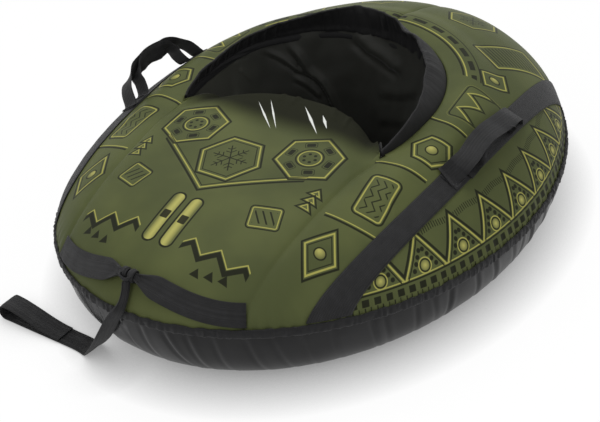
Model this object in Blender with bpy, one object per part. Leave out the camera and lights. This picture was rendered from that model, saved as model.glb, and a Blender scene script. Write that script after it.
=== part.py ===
"""Oval snow tube with a seat well, carrying handles and a tow strap.

Metres, +Z up. The tow end faces -Y, the back of the seat faces +Y and the tube rests on z = 0.
"""
import math

import bmesh
import bpy
from mathutils import Matrix, Vector

for leftover in list(bpy.data.objects):
    bpy.data.objects.remove(leftover, do_unlink=True)

# Clearances
GAP = 0.0003
FACET_GAP = 0.001
STRAP_GAP = 0.0026
SEAM_GAP = 0.0008
TUBE_GAP = 0.003

# Oval body
HALF_LENGTH = 0.547
HALF_WIDTH = 0.427
SEAM_HEIGHT = 0.108
SEAM_END_LIFT = 0.023
SEAM_REAR_DROP = 0.013
CROWN_RISE = 0.168
CROWN_REAR_LIFT = 0.037
CROWN_START_SHARE = 0.35
CROWN_POWER = 0.556
UNDERSIDE_SHARE = 0.7825
UNDERSIDE_POWER = 2.25
COVER_THICKNESS = 0.002

# Seat well
SEAT_Y = 0.018
SEAT_RADIUS = 0.2355
SEAT_SIDE_LENGTH = 0.142
SEAT_SIDE_DRAW = 0.0265
SEAT_HEIGHT = 0.2672
SEAT_TILT = math.radians(4.5)
SEAT_FLAT = 0.027
SEAT_BLEND = 0.075
WELL_TAPER = 0.065
WELL_TAPER_POWER = 1.15
WELL_FADE = math.radians(35)
WELL_WALL = 0.002

# Roll of the deck down into the well
TONGUE_Y = 0.033
TONGUE_POWER = 2.3
LIP_ROLL = 0.09
LIP_DEPTH = 0.085
LIP_LEAST = math.radians(4)
LIP_ROOM_SHARE = 0.7
LIP_FADE = math.radians(26)

# Front deck panel between the two long seams
DECK_INSET = 0.0425
DECK_HALF_WIDTH = SEAT_RADIUS - DECK_INSET
DECK_FLARE = 0.0225
DECK_FLARE_POWER = 1.2

# Edge binding round the seam
BINDING_HALF_HEIGHT = 0.0085
BINDING_DEPTH = 0.006

# Seat collar: a folded hem band with an elastic cord in it
COLLAR_HEIGHT = 0.038
COLLAR_END_HEIGHT = 0.016
COLLAR_LEAN = 0.016
COLLAR_RAMP = math.radians(26)
COLLAR_PLY = 0.0014
COLLAR_CHANNEL = 0.0030
COLLAR_DROP = 0.016
ELASTIC_RADIUS = 0.0011

# Inner tube and its valve
TUBE_WALL = 0.002
TUBE_SHOULDER = 0.075
TUBE_SPAN = 0.25
VALVE_ANGLE = math.radians(222)
PATCH_RADIUS = 0.014
PATCH_THICKNESS = 0.0012
BOSS_RADIUS = 0.0055
BOSS_HEIGHT = 0.005
STEM_RADIUS = 0.003
STEM_BORE = 0.0018
STEM_LENGTH = 0.015
CORE_RADIUS = 0.0014
CORE_LENGTH = 0.012
CAP_WALL = 0.0012
CAP_LENGTH = 0.0075
CAP_COVERS = 0.006

# Zip behind the collar
ZIP_FROM_STATION = 1
ZIP_STATIONS = 8
ZIP_TAPE = 0.010
ZIP_COIL_WIDTH = 0.0042
ZIP_COIL_RISE = 0.0016
ZIP_TAPE_THICKNESS = 0.001
SLIDER_PARK = math.radians(3)
SLIDER_LENGTH = 0.010
SLIDER_PLATE = 0.0014
SLIDER_RAIL = 0.0018
BRIDGE_LENGTH = 0.006
BRIDGE_WIDTH = 0.0016
BRIDGE_WALL = 0.001
BRIDGE_HOLE = 0.002
PULL_LENGTH = 0.028
PULL_WIDTH = 0.0078
PULL_THICKNESS = 0.0012
PULL_WINDOW = 0.0052
PULL_DROOP = math.radians(3.5)

# Webbing
WEB_WIDTH = 0.040
WEB_THICKNESS = 0.0015
SIDE_STRAP_INSET = 0.092
SIDE_STRAP_BOW = 0.078
SIDE_STRAP_PLAN_WIDTH = 0.035

# Carrying handles: feet centres along Y, arch height and turn of the band at mid span
HANDLE_FEET = {"right": (-0.066, 0.142), "left": (-0.123, 0.072)}
HANDLE_RISE = {"right": 0.022, "left": 0.052}
HANDLE_ROLL = {"right": math.radians(8), "left": math.radians(24)}
HANDLE_THICKNESS = 0.003
HANDLE_END_RADIUS = 0.003
HANDLE_END_SHARE = 0.9
FOOT_LENGTH = 0.034
FOOT_WIDTH = 0.033

# Bridle across the front deck and the tow strap hitched to it
BRIDLE_END_RISE = 0.027
BRIDLE_MID_RISE = 0.049
BRIDLE_BUNCH_RADIUS = 0.0048
HITCH_INNER_RADIUS = 0.0062
HITCH_OUTER_RADIUS = 0.0112
HITCH_WIDTH = 0.020
STRAP_THICKNESS = 0.0026
STRAP_BUNCH_WIDTH = 0.013
STRAP_BUNCH_THICKNESS = 0.006
LOOP_LENGTH = 0.137
LOOP_HEIGHT = 0.030
LOOP_PLY = 0.0024
LOOP_SEWN = 0.03
HANGING_ROUTE = [
    (0.0030, -0.5327, 0.1985), (0.0045, -0.5370, 0.1900), (0.0060, -0.5450, 0.1785), (0.0050, -0.5535, 0.1665),
    (-0.0010, -0.5600, 0.1540), (-0.0150, -0.5620, 0.1340), (-0.0330, -0.5610, 0.1060), (-0.0560, -0.5560, 0.0740),
    (-0.0830, -0.5460, 0.0420), (-0.1060, -0.5360, 0.0180), (-0.1174, -0.5297, 0.0074),
]
FOLD_POINT = (-0.1195, -0.5290, 0.0050)
FLOOR_ROUTE = [
    (-0.1188, -0.5294, 0.0053), (-0.133, -0.5250, 0.0022), (-0.155, -0.5230, 0.0018),
    (-0.178, -0.5225, 0.0018), (-0.198, -0.5225, 0.0018),
]

# Counts of faces
DECK_STATIONS = 3
CORNER_STATIONS = 9
SIDE_STATIONS = 14
PANEL_ROWS = 7
LIP_ROWS = 4
WELL_ROWS = 4
UNDERSIDE_ROWS = 4

ZIP_BAND = 2 * ZIP_TAPE + ZIP_COIL_WIDTH + 4 * GAP + FACET_GAP
UP = Vector((0, 0, 1))
HUB = Vector((0, SEAT_Y, 0))


def mix(low, high, share):
    return low + (high - low) * share


def smooth_step(share):
    share = min(max(share, 0), 1)
    return share * share * (3 - 2 * share)


def bisect(low, high, test):
    """Where test changes from negative to positive between low and high."""
    for _ in range(50):
        middle = (low + high) / 2
        if test(middle) > 0:
            high = middle
        else:
            low = middle
    return (low + high) / 2


def spread(low, high, count):
    return [mix(low, high, step / count) for step in range(count + 1)]


# Shape of the oval body, read along rays that leave the hub of the seat at an angle from -Y

def ray(angle):
    return Vector((math.sin(angle), -math.cos(angle), 0))


def rim_radius(angle):
    """Distance from the hub to the outer seam."""
    way = ray(angle)
    square = (way.x / HALF_WIDTH) ** 2 + (way.y / HALF_LENGTH) ** 2
    linear = 2 * SEAT_Y * way.y / HALF_LENGTH ** 2
    rest = (SEAT_Y / HALF_LENGTH) ** 2 - 1
    return (-linear + math.sqrt(linear ** 2 - 4 * square * rest)) / (2 * square)


def rim_normal(point):
    return Vector((point.x / HALF_WIDTH ** 2, point.y / HALF_LENGTH ** 2, 0)).normalized()


def seam_height(y):
    share = y / HALF_LENGTH
    return SEAM_HEIGHT + SEAM_END_LIFT * share ** 2 - SEAM_REAR_DROP * share


def side_draw(y):
    """How far the straight side of the seat is drawn in, in front of its round part."""
    share = min(max(SEAT_Y - y, 0) / SEAT_SIDE_LENGTH, 1)
    return SEAT_SIDE_DRAW * share ** 3


def seat_radius(angle, grow=0):
    """Distance from the hub to the seat's side and rear edge, a half round behind drawn-in sides."""
    way = ray(angle)
    if way.y >= 0:
        return (SEAT_RADIUS + grow) / math.hypot(way.x, way.y / math.cos(SEAT_TILT))
    return bisect(0, rim_radius(angle),
                  lambda reach: abs(way.x) * reach + side_draw(SEAT_Y + way.y * reach) - SEAT_RADIUS - grow)


def seat_normal(angle):
    """Outward direction of the seat's side and rear edge in plan."""
    way = ray(angle)
    if way.y >= 0:
        return way
    step = FACET_GAP
    y = SEAT_Y + way.y * seat_radius(angle)
    slope = (side_draw(y - step) - side_draw(y + step)) / (2 * step)
    return Vector((math.copysign(1, way.x), -slope, 0)).normalized()


def seat_plane(y):
    return SEAT_HEIGHT + (y - SEAT_Y) * math.tan(SEAT_TILT)


def tongue_y(x):
    """Rear edge of the deck, a tongue that reaches back between the seat's two front corners."""
    share = min(abs(x) / CORNER.x, 1)
    return mix(TONGUE_Y, CORNER.y, share ** TONGUE_POWER)


def seat_distance(x, y):
    if y >= SEAT_Y:
        return math.hypot(x, y - SEAT_Y) - SEAT_RADIUS
    return max(abs(x) + side_draw(y) - SEAT_RADIUS, tongue_y(x) - y)


def top_height(x, y):
    """Height of the inflated top, flattened to the seat's plane near the seat."""
    share = math.hypot(x / HALF_WIDTH, y / HALF_LENGTH)
    fall = min(max((share - CROWN_START_SHARE) / (1 - CROWN_START_SHARE), 0), 1)
    rise = CROWN_RISE + CROWN_REAR_LIFT * y / HALF_LENGTH
    dome = seam_height(y) + rise * (1 - fall ** 2) ** CROWN_POWER
    return mix(seat_plane(y), dome, smooth_step((seat_distance(x, y) - SEAT_FLAT) / SEAT_BLEND))


def top_normal(x, y):
    step = FACET_GAP
    slope_x = (top_height(x + step, y) - top_height(x - step, y)) / (2 * step)
    slope_y = (top_height(x, y + step) - top_height(x, y - step)) / (2 * step)
    return Vector((-slope_x, -slope_y, 1)).normalized()


def top_point(x, y, lift=0):
    return Vector((x, y, top_height(x, y))) + top_normal(x, y) * lift


def deck_edge(y):
    """Half width of the front deck panel at its long seams."""
    share = max(y + HALF_LENGTH, 0) / (HALF_LENGTH + SEAT_Y - SEAT_SIDE_LENGTH)
    return DECK_HALF_WIDTH + DECK_FLARE * share ** DECK_FLARE_POWER


def deck_radius(angle, shift=0):
    """Distance from the hub to the long seam, which is moved outwards by shift."""
    way = ray(angle)
    return bisect(0, rim_radius(angle),
                  lambda reach: abs(way.x) * reach - deck_edge(SEAT_Y + way.y * reach) - shift)


def edge_gap(angle, reach):
    point = HUB + ray(angle) * reach
    return point.x - deck_edge(point.y)


def corner_angles():
    """Rays through points of the long seam, closer together towards its two ends."""
    front = bisect(0, math.pi / 2, lambda angle: edge_gap(angle, rim_radius(angle)))
    rear = bisect(front, math.pi / 2, lambda angle: edge_gap(angle, seat_radius(angle)))
    front_y = (HUB + ray(front) * rim_radius(front)).y
    rear_y = (HUB + ray(rear) * seat_radius(rear)).y
    angles = [front]
    for step in range(1, CORNER_STATIONS):
        y = mix(front_y, rear_y, (1 - math.cos(math.pi * step / CORNER_STATIONS)) / 2)
        angles.append(math.atan2(deck_edge(y), SEAT_Y - y))
    return angles + [rear]


CORNER_ANGLES = corner_angles()
DECK_FRONT_ANGLE = CORNER_ANGLES[0]
DECK_REAR_ANGLE = CORNER_ANGLES[-1]
CORNER = HUB + ray(DECK_REAR_ANGLE) * seat_radius(DECK_REAR_ANGLE)


def ring_angles():
    """Rays that every ring of the body shares, from the front round to the front again."""
    half = spread(0, DECK_FRONT_ANGLE, DECK_STATIONS)
    half += CORNER_ANGLES[1:]
    half += spread(DECK_REAR_ANGLE, math.pi, SIDE_STATIONS)[1:]
    return half + [2 * math.pi - angle for angle in reversed(half[1:-1])]


ANGLES = ring_angles()
REAR = ANGLES.index(math.pi)
ZIP_ANGLES = ANGLES[REAR + ZIP_FROM_STATION:REAR + ZIP_FROM_STATION + ZIP_STATIONS + 1]
SLIDER_ANGLE = ZIP_ANGLES[0] + SLIDER_PARK


def signed(angle):
    return angle if angle <= math.pi else angle - 2 * math.pi


def edge_point(angle):
    """The seat's edge in plan, on the tongue in front and on its side or rear elsewhere."""
    turn = signed(angle)
    if abs(turn) >= DECK_REAR_ANGLE:
        return HUB + ray(angle) * seat_radius(angle)
    x = CORNER.x * turn / DECK_REAR_ANGLE
    return Vector((x, tongue_y(x), 0))


def edge_inward(angle):
    """Direction into the well at the seat's edge."""
    if abs(signed(angle)) >= DECK_REAR_ANGLE:
        return -ray(angle)
    x = edge_point(angle).x
    step = FACET_GAP
    slope = (tongue_y(x + step) - tongue_y(x - step)) / (2 * step)
    return Vector((-slope, 1, 0)).normalized()


def deck_end(angle):
    """Where a line of the deck ends, at the outer seam in front and at the long seams beside it."""
    at_rim = abs(signed(angle)) <= DECK_FRONT_ANGLE
    return HUB + ray(angle) * (rim_radius(angle) if at_rim else deck_radius(angle, -GAP))


def lip_roll(angle):
    """Angle through which the deck rolls down into the well, from 0 at the seat's corners."""
    roll = math.pi / 2 * smooth_step((DECK_REAR_ANGLE - abs(signed(angle))) / LIP_FADE)
    return roll if roll > LIP_LEAST else 0


def lip_scale(angle):
    """Size of the roll, which shrinks where the deck runs out into the seat's corners."""
    room = (deck_end(angle) - edge_point(angle)).length
    return min(1, room * LIP_ROOM_SHARE / LIP_ROLL)


def lip_reach(angle):
    return LIP_ROLL * lip_scale(angle) * math.sin(lip_roll(angle))


def lip_drop(angle):
    return LIP_DEPTH * lip_scale(angle) * (1 - math.cos(lip_roll(angle)))


def well_inset(height, angle):
    """How far the funnel of the seat has drawn in at a height."""
    top = seat_plane(edge_point(angle).y)
    share = (top - height) / top
    side = smooth_step((abs(signed(angle)) - DECK_REAR_ANGLE) / WELL_FADE)
    return WELL_TAPER * side * max(share, 0) ** WELL_TAPER_POWER


# Makers of solids

def material(name, colour, roughness, metallic=0):
    made = bpy.data.materials.get(name) or bpy.data.materials.new(name)
    made.use_nodes = True
    shader = made.node_tree.nodes["Principled BSDF"]
    shader.inputs["Base Color"].default_value = (*colour, 1)
    shader.inputs["Roughness"].default_value = roughness
    shader.inputs["Metallic"].default_value = metallic
    return made


PRINT = ("printed_fabric", (0.095, 0.105, 0.042), 0.5)
BLACK_COATED = ("black_coated_fabric", (0.03, 0.03, 0.032), 0.35)
BLACK_CLOTH = ("black_cloth", (0.014, 0.014, 0.015), 0.8)
WEBBING = ("black_webbing", (0.012, 0.012, 0.013), 0.75)
RUBBER = ("tube_rubber", (0.02, 0.02, 0.021), 0.6)
BRASS = ("valve_brass", (0.72, 0.53, 0.24), 0.3, 1)
NICKEL = ("zip_nickel", (0.35, 0.35, 0.36), 0.35, 1)
PLASTIC = ("zip_plastic", (0.018, 0.018, 0.02), 0.4)


def finish(name, mesh_tool, look, smooth=True):
    """A named object with its own material."""
    bmesh.ops.remove_doubles(mesh_tool, verts=mesh_tool.verts, dist=GAP / 100)
    bmesh.ops.dissolve_degenerate(mesh_tool, edges=mesh_tool.edges, dist=GAP / 100)
    mesh = bpy.data.meshes.new(name)
    mesh_tool.to_mesh(mesh)
    mesh_tool.free()
    made = bpy.data.objects.new(name, mesh)
    bpy.context.scene.collection.objects.link(made)
    made.data.materials.append(material(*look))
    if smooth:
        mesh.shade_smooth()
        mesh.set_sharp_from_angle(angle=math.radians(40))
    return made


def face_from(mesh_tool, inside):
    """Point the faces of an open sheet away from a point."""
    mesh_tool.normal_update()
    lean = sum(face.normal.dot(face.calc_center_median() - inside) for face in mesh_tool.faces)
    if lean < 0:
        bmesh.ops.reverse_faces(mesh_tool, faces=mesh_tool.faces)


def sheet(name, rows, thickness, inside, look, offset=-1, closed=False):
    """A cloth sheet through rows of points, with a thickness on one side of them."""
    mesh_tool = bmesh.new()
    grid = [[mesh_tool.verts.new(point) for point in row] for row in rows]
    if closed:
        grid.append(grid[0])
    for first, second in zip(grid, grid[1:]):
        for here in range(min(len(first), len(second)) - 1):
            mesh_tool.faces.new((first[here], first[here + 1], second[here + 1], second[here]))
    bmesh.ops.remove_doubles(mesh_tool, verts=mesh_tool.verts, dist=GAP / 100)
    face_from(mesh_tool, inside)
    made = finish(name, mesh_tool, look)
    solid = made.modifiers.new("thickness", "SOLIDIFY")
    solid.thickness = thickness
    solid.offset = offset
    solid.use_even_offset = True
    solid.use_quality_normals = True
    return made


def skin(mesh_tool, rings, closed=False):
    """Bridge rings of points into a tube, with its ends capped unless it is closed."""
    grid = [[mesh_tool.verts.new(point) for point in ring] for ring in rings]
    pairs = list(zip(grid, grid[1:] + grid[:1])) if closed else list(zip(grid, grid[1:]))
    made = []
    for first, second in pairs:
        for here in range(len(first)):
            after = (here + 1) % len(first)
            made.append(mesh_tool.faces.new((first[here], first[after], second[after], second[here])))
    if not closed:
        made.append(mesh_tool.faces.new(list(reversed(grid[0]))))
        made.append(mesh_tool.faces.new(grid[-1]))
    return made


def loft(name, rings, look, closed=False, smooth=True):
    mesh_tool = bmesh.new()
    skin(mesh_tool, rings, closed)
    bmesh.ops.recalc_face_normals(mesh_tool, faces=mesh_tool.faces)
    return finish(name, mesh_tool, look, smooth)


def extrusion(name, outline, depth, look, hole=None):
    """A flat outline of points, with an optional hole, raised along a vector."""
    mesh_tool = bmesh.new()
    loops = []
    for points in [outline] + ([hole] if hole else []):
        low = [mesh_tool.verts.new(point) for point in points]
        high = [mesh_tool.verts.new(point + depth) for point in points]
        loops.append((low, high))
        for here in range(len(low)):
            after = (here + 1) % len(low)
            mesh_tool.faces.new((low[here], low[after], high[after], high[here]))
    for level in range(2):
        if hole:
            outer = loops[0][level]
            inner = loops[1][level]
            for here in range(len(outer)):
                after = (here + 1) % len(outer)
                mesh_tool.faces.new((outer[here], outer[after], inner[after], inner[here]))
        else:
            mesh_tool.faces.new(loops[0][level])
    bmesh.ops.recalc_face_normals(mesh_tool, faces=mesh_tool.faces)
    return finish(name, mesh_tool, look)


def turned(name, profile, base, axis, look, segments=12):
    """A closed profile of (radius, height) turned about an axis."""
    mesh_tool = bmesh.new()
    side = axis.orthogonal().normalized()
    verts = [mesh_tool.verts.new(base + side * radius + axis * height) for radius, height in profile]
    edges = [mesh_tool.edges.new((verts[here - 1], verts[here])) for here in range(len(verts))
             if profile[here - 1][0] or profile[here][0]]
    bmesh.ops.spin(mesh_tool, geom=verts + edges, cent=base, axis=axis, angle=2 * math.pi,
                   steps=segments, use_merge=True)
    bmesh.ops.remove_doubles(mesh_tool, verts=mesh_tool.verts, dist=GAP / 100)
    bmesh.ops.recalc_face_normals(mesh_tool, faces=mesh_tool.faces)
    return finish(name, mesh_tool, look)


def smooth_route(points, per_span):
    """Points along a smooth curve through the given ones."""
    knots = [Vector(point) for point in points]
    knots = [2 * knots[0] - knots[1]] + knots + [2 * knots[-1] - knots[-2]]
    route = []
    for here in range(1, len(knots) - 2):
        before, start, end, after = knots[here - 1:here + 3]
        for step in range(per_span):
            t = step / per_span
            route.append((2 * start + (end - before) * t + (2 * before - 5 * start + 4 * end - after) * t ** 2
                          + (3 * start - before - 3 * end + after) * t ** 3) / 2)
    route.append(knots[-2])
    return route


def ribbon_ring(centre, across, through, half_width, half_thickness):
    """Eight points round a flat band, with its corners eased."""
    ease = min(half_width, half_thickness) / 2
    wide = [(1, 1, 0, -1), (1, 1, -1, 0), (-1, 1, 1, 0), (-1, 1, 0, -1),
            (-1, -1, 0, 1), (-1, -1, 1, 0), (1, -1, -1, 0), (1, -1, 0, 1)]
    return [centre + across * (x * half_width + dx * ease) + through * (z * half_thickness + dz * ease)
            for x, z, dx, dz in wide]


def ribbon(name, centres, acrosses, half_widths, half_thicknesses, look):
    """A band along a route; across gives the direction of its width at each point."""
    rings = []
    for here, centre in enumerate(centres):
        way = centres[min(here + 1, len(centres) - 1)] - centres[max(here - 1, 0)]
        way.normalize()
        across = acrosses[here] - way * acrosses[here].dot(way)
        across.normalize()
        rings.append(ribbon_ring(centre, across, way.cross(across), half_widths[here], half_thicknesses[here]))
    return loft(name, rings, look)


def axis_empty(name, point):
    """An empty on a joint's axis, which carries the pieces that move about it."""
    made = bpy.data.objects.new(name, None)
    made.location = point
    bpy.context.scene.collection.objects.link(made)
    return made


def carry(empty, *pieces):
    for piece in pieces:
        piece.parent = empty
        piece.matrix_parent_inverse = Matrix.Translation(empty.location).inverted()


# Cover of the body

def underside_steps():
    """Depths of the bowl's rows, as shares of the height under the seam."""
    return [math.sin(math.pi / 2 * step / UNDERSIDE_ROWS) for step in range(UNDERSIDE_ROWS + 1)]


def underside_share(down):
    return mix(UNDERSIDE_SHARE, 1, (1 - down ** UNDERSIDE_POWER) ** (1 / UNDERSIDE_POWER))


def panel_column(start, end, at_rim):
    """Points of a top panel from start to end in plan, closer together towards the steep edge."""
    column = []
    for row in range(PANEL_ROWS + 1):
        point = start.lerp(end, math.sin(math.pi / 2 * row / PANEL_ROWS))
        point.z = top_height(point.x, point.y)
        if at_rim and row == PANEL_ROWS:
            point.z = seam_height(point.y) + FACET_GAP
        column.append(point)
    return column


def panel_strip(angle, inner, outer):
    """Width of the row of cloth beside a side panel's inner edge."""
    return min(seat_radius(angle, ZIP_BAND) - seat_radius(angle), (outer - inner) / PANEL_ROWS)


def front_panel():
    """Deck in front of the seat, rolled down into the well at its rear edge."""
    turns = spread(0, DECK_FRONT_ANGLE, DECK_STATIONS) + CORNER_ANGLES[1:]
    turns[-1] = mix(turns[-2], turns[-1], 0.5)
    rows = []
    for turn in [-angle for angle in reversed(turns[1:])] + turns:
        edge = edge_point(turn)
        end = deck_end(turn)
        roll = lip_roll(turn)
        start = edge + (end - edge).normalized() * lip_reach(turn)
        deck = panel_column(start, end, abs(turn) <= DECK_FRONT_ANGLE)
        low = seat_plane(edge.y) - lip_drop(turn)
        lip = []
        for row in range(LIP_ROWS):
            part = roll * (1 - row / LIP_ROWS)
            point = start.lerp(edge, math.sin(part) / max(math.sin(roll), GAP))
            point.z = mix(deck[0].z, low, (1 - math.cos(part)) / max(1 - math.cos(roll), GAP))
            lip.append(point)
        rows.append(lip + deck)
    return sheet("top_panel_front", rows, COVER_THICKNESS, -UP, PRINT)


def side_panel(side):
    """Panel from the long seam round to the seam behind the seat, with a slot for the zip on the left."""
    turns = list(CORNER_ANGLES)
    turns[0] = mix(turns[0], turns[1], 0.35)
    turns += spread(DECK_REAR_ANGLE, math.pi, SIDE_STATIONS)[1:]
    slot = [2 * math.pi - angle for angle in ZIP_ANGLES]
    rows = []
    for turn in turns:
        inner = deck_radius(turn, SEAM_GAP) if turn < DECK_REAR_ANGLE else seat_radius(turn)
        outer = rim_radius(turn)
        strip = panel_strip(turn, inner, outer)
        way = ray(turn)
        column = list(reversed(panel_column(HUB + way * (inner + strip), HUB + way * outer, True)))
        if side > 0 or not slot[-1] + FACET_GAP < turn < slot[0] - FACET_GAP:
            edge = HUB + ray(turn) * inner
            edge.z = top_height(edge.x, edge.y)
            column.append(edge)
        for point in column:
            point.x = side * max(point.x, GAP)
        rows.append(column)
    name = "top_panel_right" if side > 0 else "top_panel_left"
    return sheet(name, rows, COVER_THICKNESS, -UP, PRINT)


def bottom_cover():
    """Bowl from the seam down to the flat that rests on the snow."""
    rows = []
    flat_shares = (0.66, 0.33, 0)
    for angle in ANGLES:
        rim = HUB + ray(angle) * rim_radius(angle)
        height = seam_height(rim.y)
        column = []
        for down in underside_steps():
            share = underside_share(down)
            column.append(Vector((rim.x * share, rim.y * share, (height - FACET_GAP) * (1 - down))))
        for flat_share in flat_shares:
            column.append(Vector((rim.x, rim.y, 0)) * UNDERSIDE_SHARE * flat_share)
        rows.append(column)
    return sheet("bottom_cover", rows, COVER_THICKNESS, UP, BLACK_COATED, closed=True)


def edge_binding():
    """Trim that laps over the seam all round."""
    outline = [(GAP * 3, -0.86), (GAP * 3, 0.86), (BINDING_DEPTH / 2, 1),
               (BINDING_DEPTH, 0.5), (BINDING_DEPTH, -0.5), (BINDING_DEPTH / 2, -1)]
    rings = []
    for angle in ANGLES:
        rim = HUB + ray(angle) * rim_radius(angle)
        rim.z = seam_height(rim.y)
        out = rim_normal(rim)
        rings.append([rim + out * depth + UP * BINDING_HALF_HEIGHT * share for depth, share in outline])
    return loft("edge_binding", rings, BLACK_CLOTH, closed=True)


# Seat well

def seat_wall():
    rows = []
    foot = 2 * COVER_THICKNESS + 2 * GAP
    for angle in ANGLES:
        edge = edge_point(angle)
        top = seat_plane(edge.y) - lip_drop(angle) - FACET_GAP
        if abs(signed(angle)) <= DECK_REAR_ANGLE:
            top -= COVER_THICKNESS
        clear = GAP if abs(signed(angle)) > DECK_REAR_ANGLE else FACET_GAP
        column = []
        for row in range(WELL_ROWS + 1):
            height = mix(top, foot, row / WELL_ROWS)
            point = edge + edge_inward(angle) * (clear + well_inset(height, angle))
            point.z = height
            column.append(point)
        rows.append(column)
    return sheet("seat_wall", rows, WELL_WALL, HUB + UP * SEAT_HEIGHT / 2, BLACK_CLOTH, closed=True)


def seat_floor():
    low = COVER_THICKNESS + GAP
    outline = [edge_point(angle) + edge_inward(angle) * (well_inset(0, angle) - COVER_THICKNESS) + UP * low
               for angle in ANGLES]
    return extrusion("seat_floor", outline, UP * COVER_THICKNESS, BLACK_CLOTH)


def seat_place(angle, out, up):
    """A point measured outwards from the seat's edge and up from the seat's tilted plane."""
    edge = HUB + ray(angle) * seat_radius(angle)
    spot = edge + seat_normal(angle) * out
    spot.z = seat_plane(spot.y)
    return spot + Matrix.Rotation(SEAT_TILT, 3, "X") @ UP * up


def collar_angles():
    first = DECK_STATIONS + CORNER_STATIONS + 1
    return ANGLES[first:len(ANGLES) - first + 1]


def collar_size(angle):
    turn = min(angle, 2 * math.pi - angle) - DECK_REAR_ANGLE
    share = smooth_step(turn / COLLAR_RAMP)
    return mix(COLLAR_END_HEIGHT, COLLAR_HEIGHT, share), COLLAR_LEAN * share


def collar_line(angle, up):
    """How far the outer ply stands out from the seat's edge at a height."""
    height, lean = collar_size(angle)
    return -GAP - COLLAR_PLY / 2 - lean * (max(up, 0) / height) ** 1.5


def seat_collar():
    """Hem band: an outer ply, a fold on top and an inner ply, with a channel between them."""
    between = COLLAR_PLY + COLLAR_CHANNEL
    half = COLLAR_PLY / 2
    rings = []
    for angle in collar_angles():
        height, _ = collar_size(angle)
        shoulder = height - 2 * COLLAR_PLY
        under = shoulder - COLLAR_PLY
        middle = height / 2
        foot = -between - WELL_WALL - well_inset(seat_plane(edge_point(angle).y) - COLLAR_DROP, angle)
        levels = [(-GAP, 0, half), (middle, 0, half), (shoulder, 0, half), (height, -between / 2, 0),
                  (shoulder, -between, -half), (middle, -between, -half), (-COLLAR_DROP, foot, -half),
                  (-COLLAR_DROP, foot, half), (middle, -between, half), (under, -between, half),
                  (under, 0, -half), (middle, 0, -half), (-GAP, 0, -half)]
        rings.append([seat_place(angle, collar_line(angle, up) + shift + ply, up) for up, shift, ply in levels])
    return loft("seat_collar", rings, BLACK_CLOTH)


def collar_elastic():
    rings = []
    sides = 5
    for angle in collar_angles()[1:-1]:
        height, _ = collar_size(angle)
        up = height - 3 * COLLAR_PLY - 2 * GAP - ELASTIC_RADIUS
        out = collar_line(angle, up) - (COLLAR_PLY + COLLAR_CHANNEL) / 2
        ring = []
        for side in range(sides):
            turn = 2 * math.pi * side / sides
            ring.append(seat_place(angle, out + ELASTIC_RADIUS * math.cos(turn),
                                   up + ELASTIC_RADIUS * math.sin(turn)))
        rings.append(ring)
    return loft("collar_elastic", rings, BLACK_CLOTH)


# Inner tube with its valve

def tube_inner(angle):
    """Distance from the hub to the well side of the tube."""
    front = max(DECK_REAR_ANGLE - abs(signed(angle)), 0) / DECK_REAR_ANGLE
    if front:
        beside = rim_radius(DECK_REAR_ANGLE) - seat_radius(DECK_REAR_ANGLE)
        return rim_radius(angle) - mix(beside, TUBE_SPAN, smooth_step(front))
    return seat_radius(angle)


def tube_section(angle):
    """Reach and height round the tube on one ray, from the bottom up the well side and over."""
    edge = tube_inner(angle)
    rim = rim_radius(angle)
    way = ray(angle)
    plane = seat_plane(SEAT_Y + way.y * edge)
    floor = COVER_THICKNESS + GAP
    section = [(edge - well_inset(floor, angle) / 3 + TUBE_SHOULDER / 4, floor)]
    for depth_share, clear in ((0.80, 0.25), (0.52, 0.10), (0.30, 0.14)):
        height = plane * (1 - depth_share)
        section.append((edge - well_inset(height, angle) + TUBE_SHOULDER * clear, height))
    section.append((edge + TUBE_SHOULDER * 0.62, plane * 0.92))
    start = edge + panel_strip(angle, edge, rim)
    cover = COVER_THICKNESS + TUBE_GAP
    for row in range(1, PANEL_ROWS):
        reach = mix(start, rim, math.sin(math.pi / 2 * row / PANEL_ROWS))
        spot = HUB + way * reach
        down = top_normal(spot.x, spot.y)
        section.append((reach - down.dot(way) * cover, top_height(spot.x, spot.y) - down.z * cover))
    seam = HUB + way * rim
    height = seam_height(seam.y)
    section.append((rim - cover, height))
    for down in underside_steps()[1:]:
        reach = (Vector((seam.x, seam.y, 0)) * underside_share(down) - HUB).length
        section.append((reach - cover, max(height * (1 - down), floor) + TUBE_GAP * (down < 1)))
    return section


def inset_section(section, depth):
    """The same outline moved inwards by a wall."""
    moved = []
    count = len(section)
    for here, (reach, height) in enumerate(section):
        before = Vector(section[here - 1])
        after = Vector(section[(here + 1) % count])
        spot = Vector((reach, height))
        first = (spot - before).normalized()
        second = (after - spot).normalized()
        inward = Vector((first.y + second.y, -first.x - second.x)).normalized()
        square = max(inward.dot(Vector((first.y, -first.x))), 0.5)
        moved.append(tuple(spot + inward * depth / square))
    return moved


def tube_ring(angle, section):
    return [HUB + ray(angle) * reach + UP * height for reach, height in section]


def valve_seat():
    """Centre and outward direction of the tube's face that carries the valve."""
    after = next(here for here, angle in enumerate(ANGLES) if angle > VALVE_ANGLE)
    near = tube_ring(ANGLES[after - 1], tube_section(ANGLES[after - 1]))
    far = tube_ring(ANGLES[after], tube_section(ANGLES[after]))
    corners = [near[3], near[4], far[4], far[3]]
    centre = sum(corners, Vector()) / len(corners)
    out = (corners[2] - corners[0]).cross(corners[3] - corners[1]).normalized()
    if out.z < 0:
        out.negate()
    return centre, out


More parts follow.
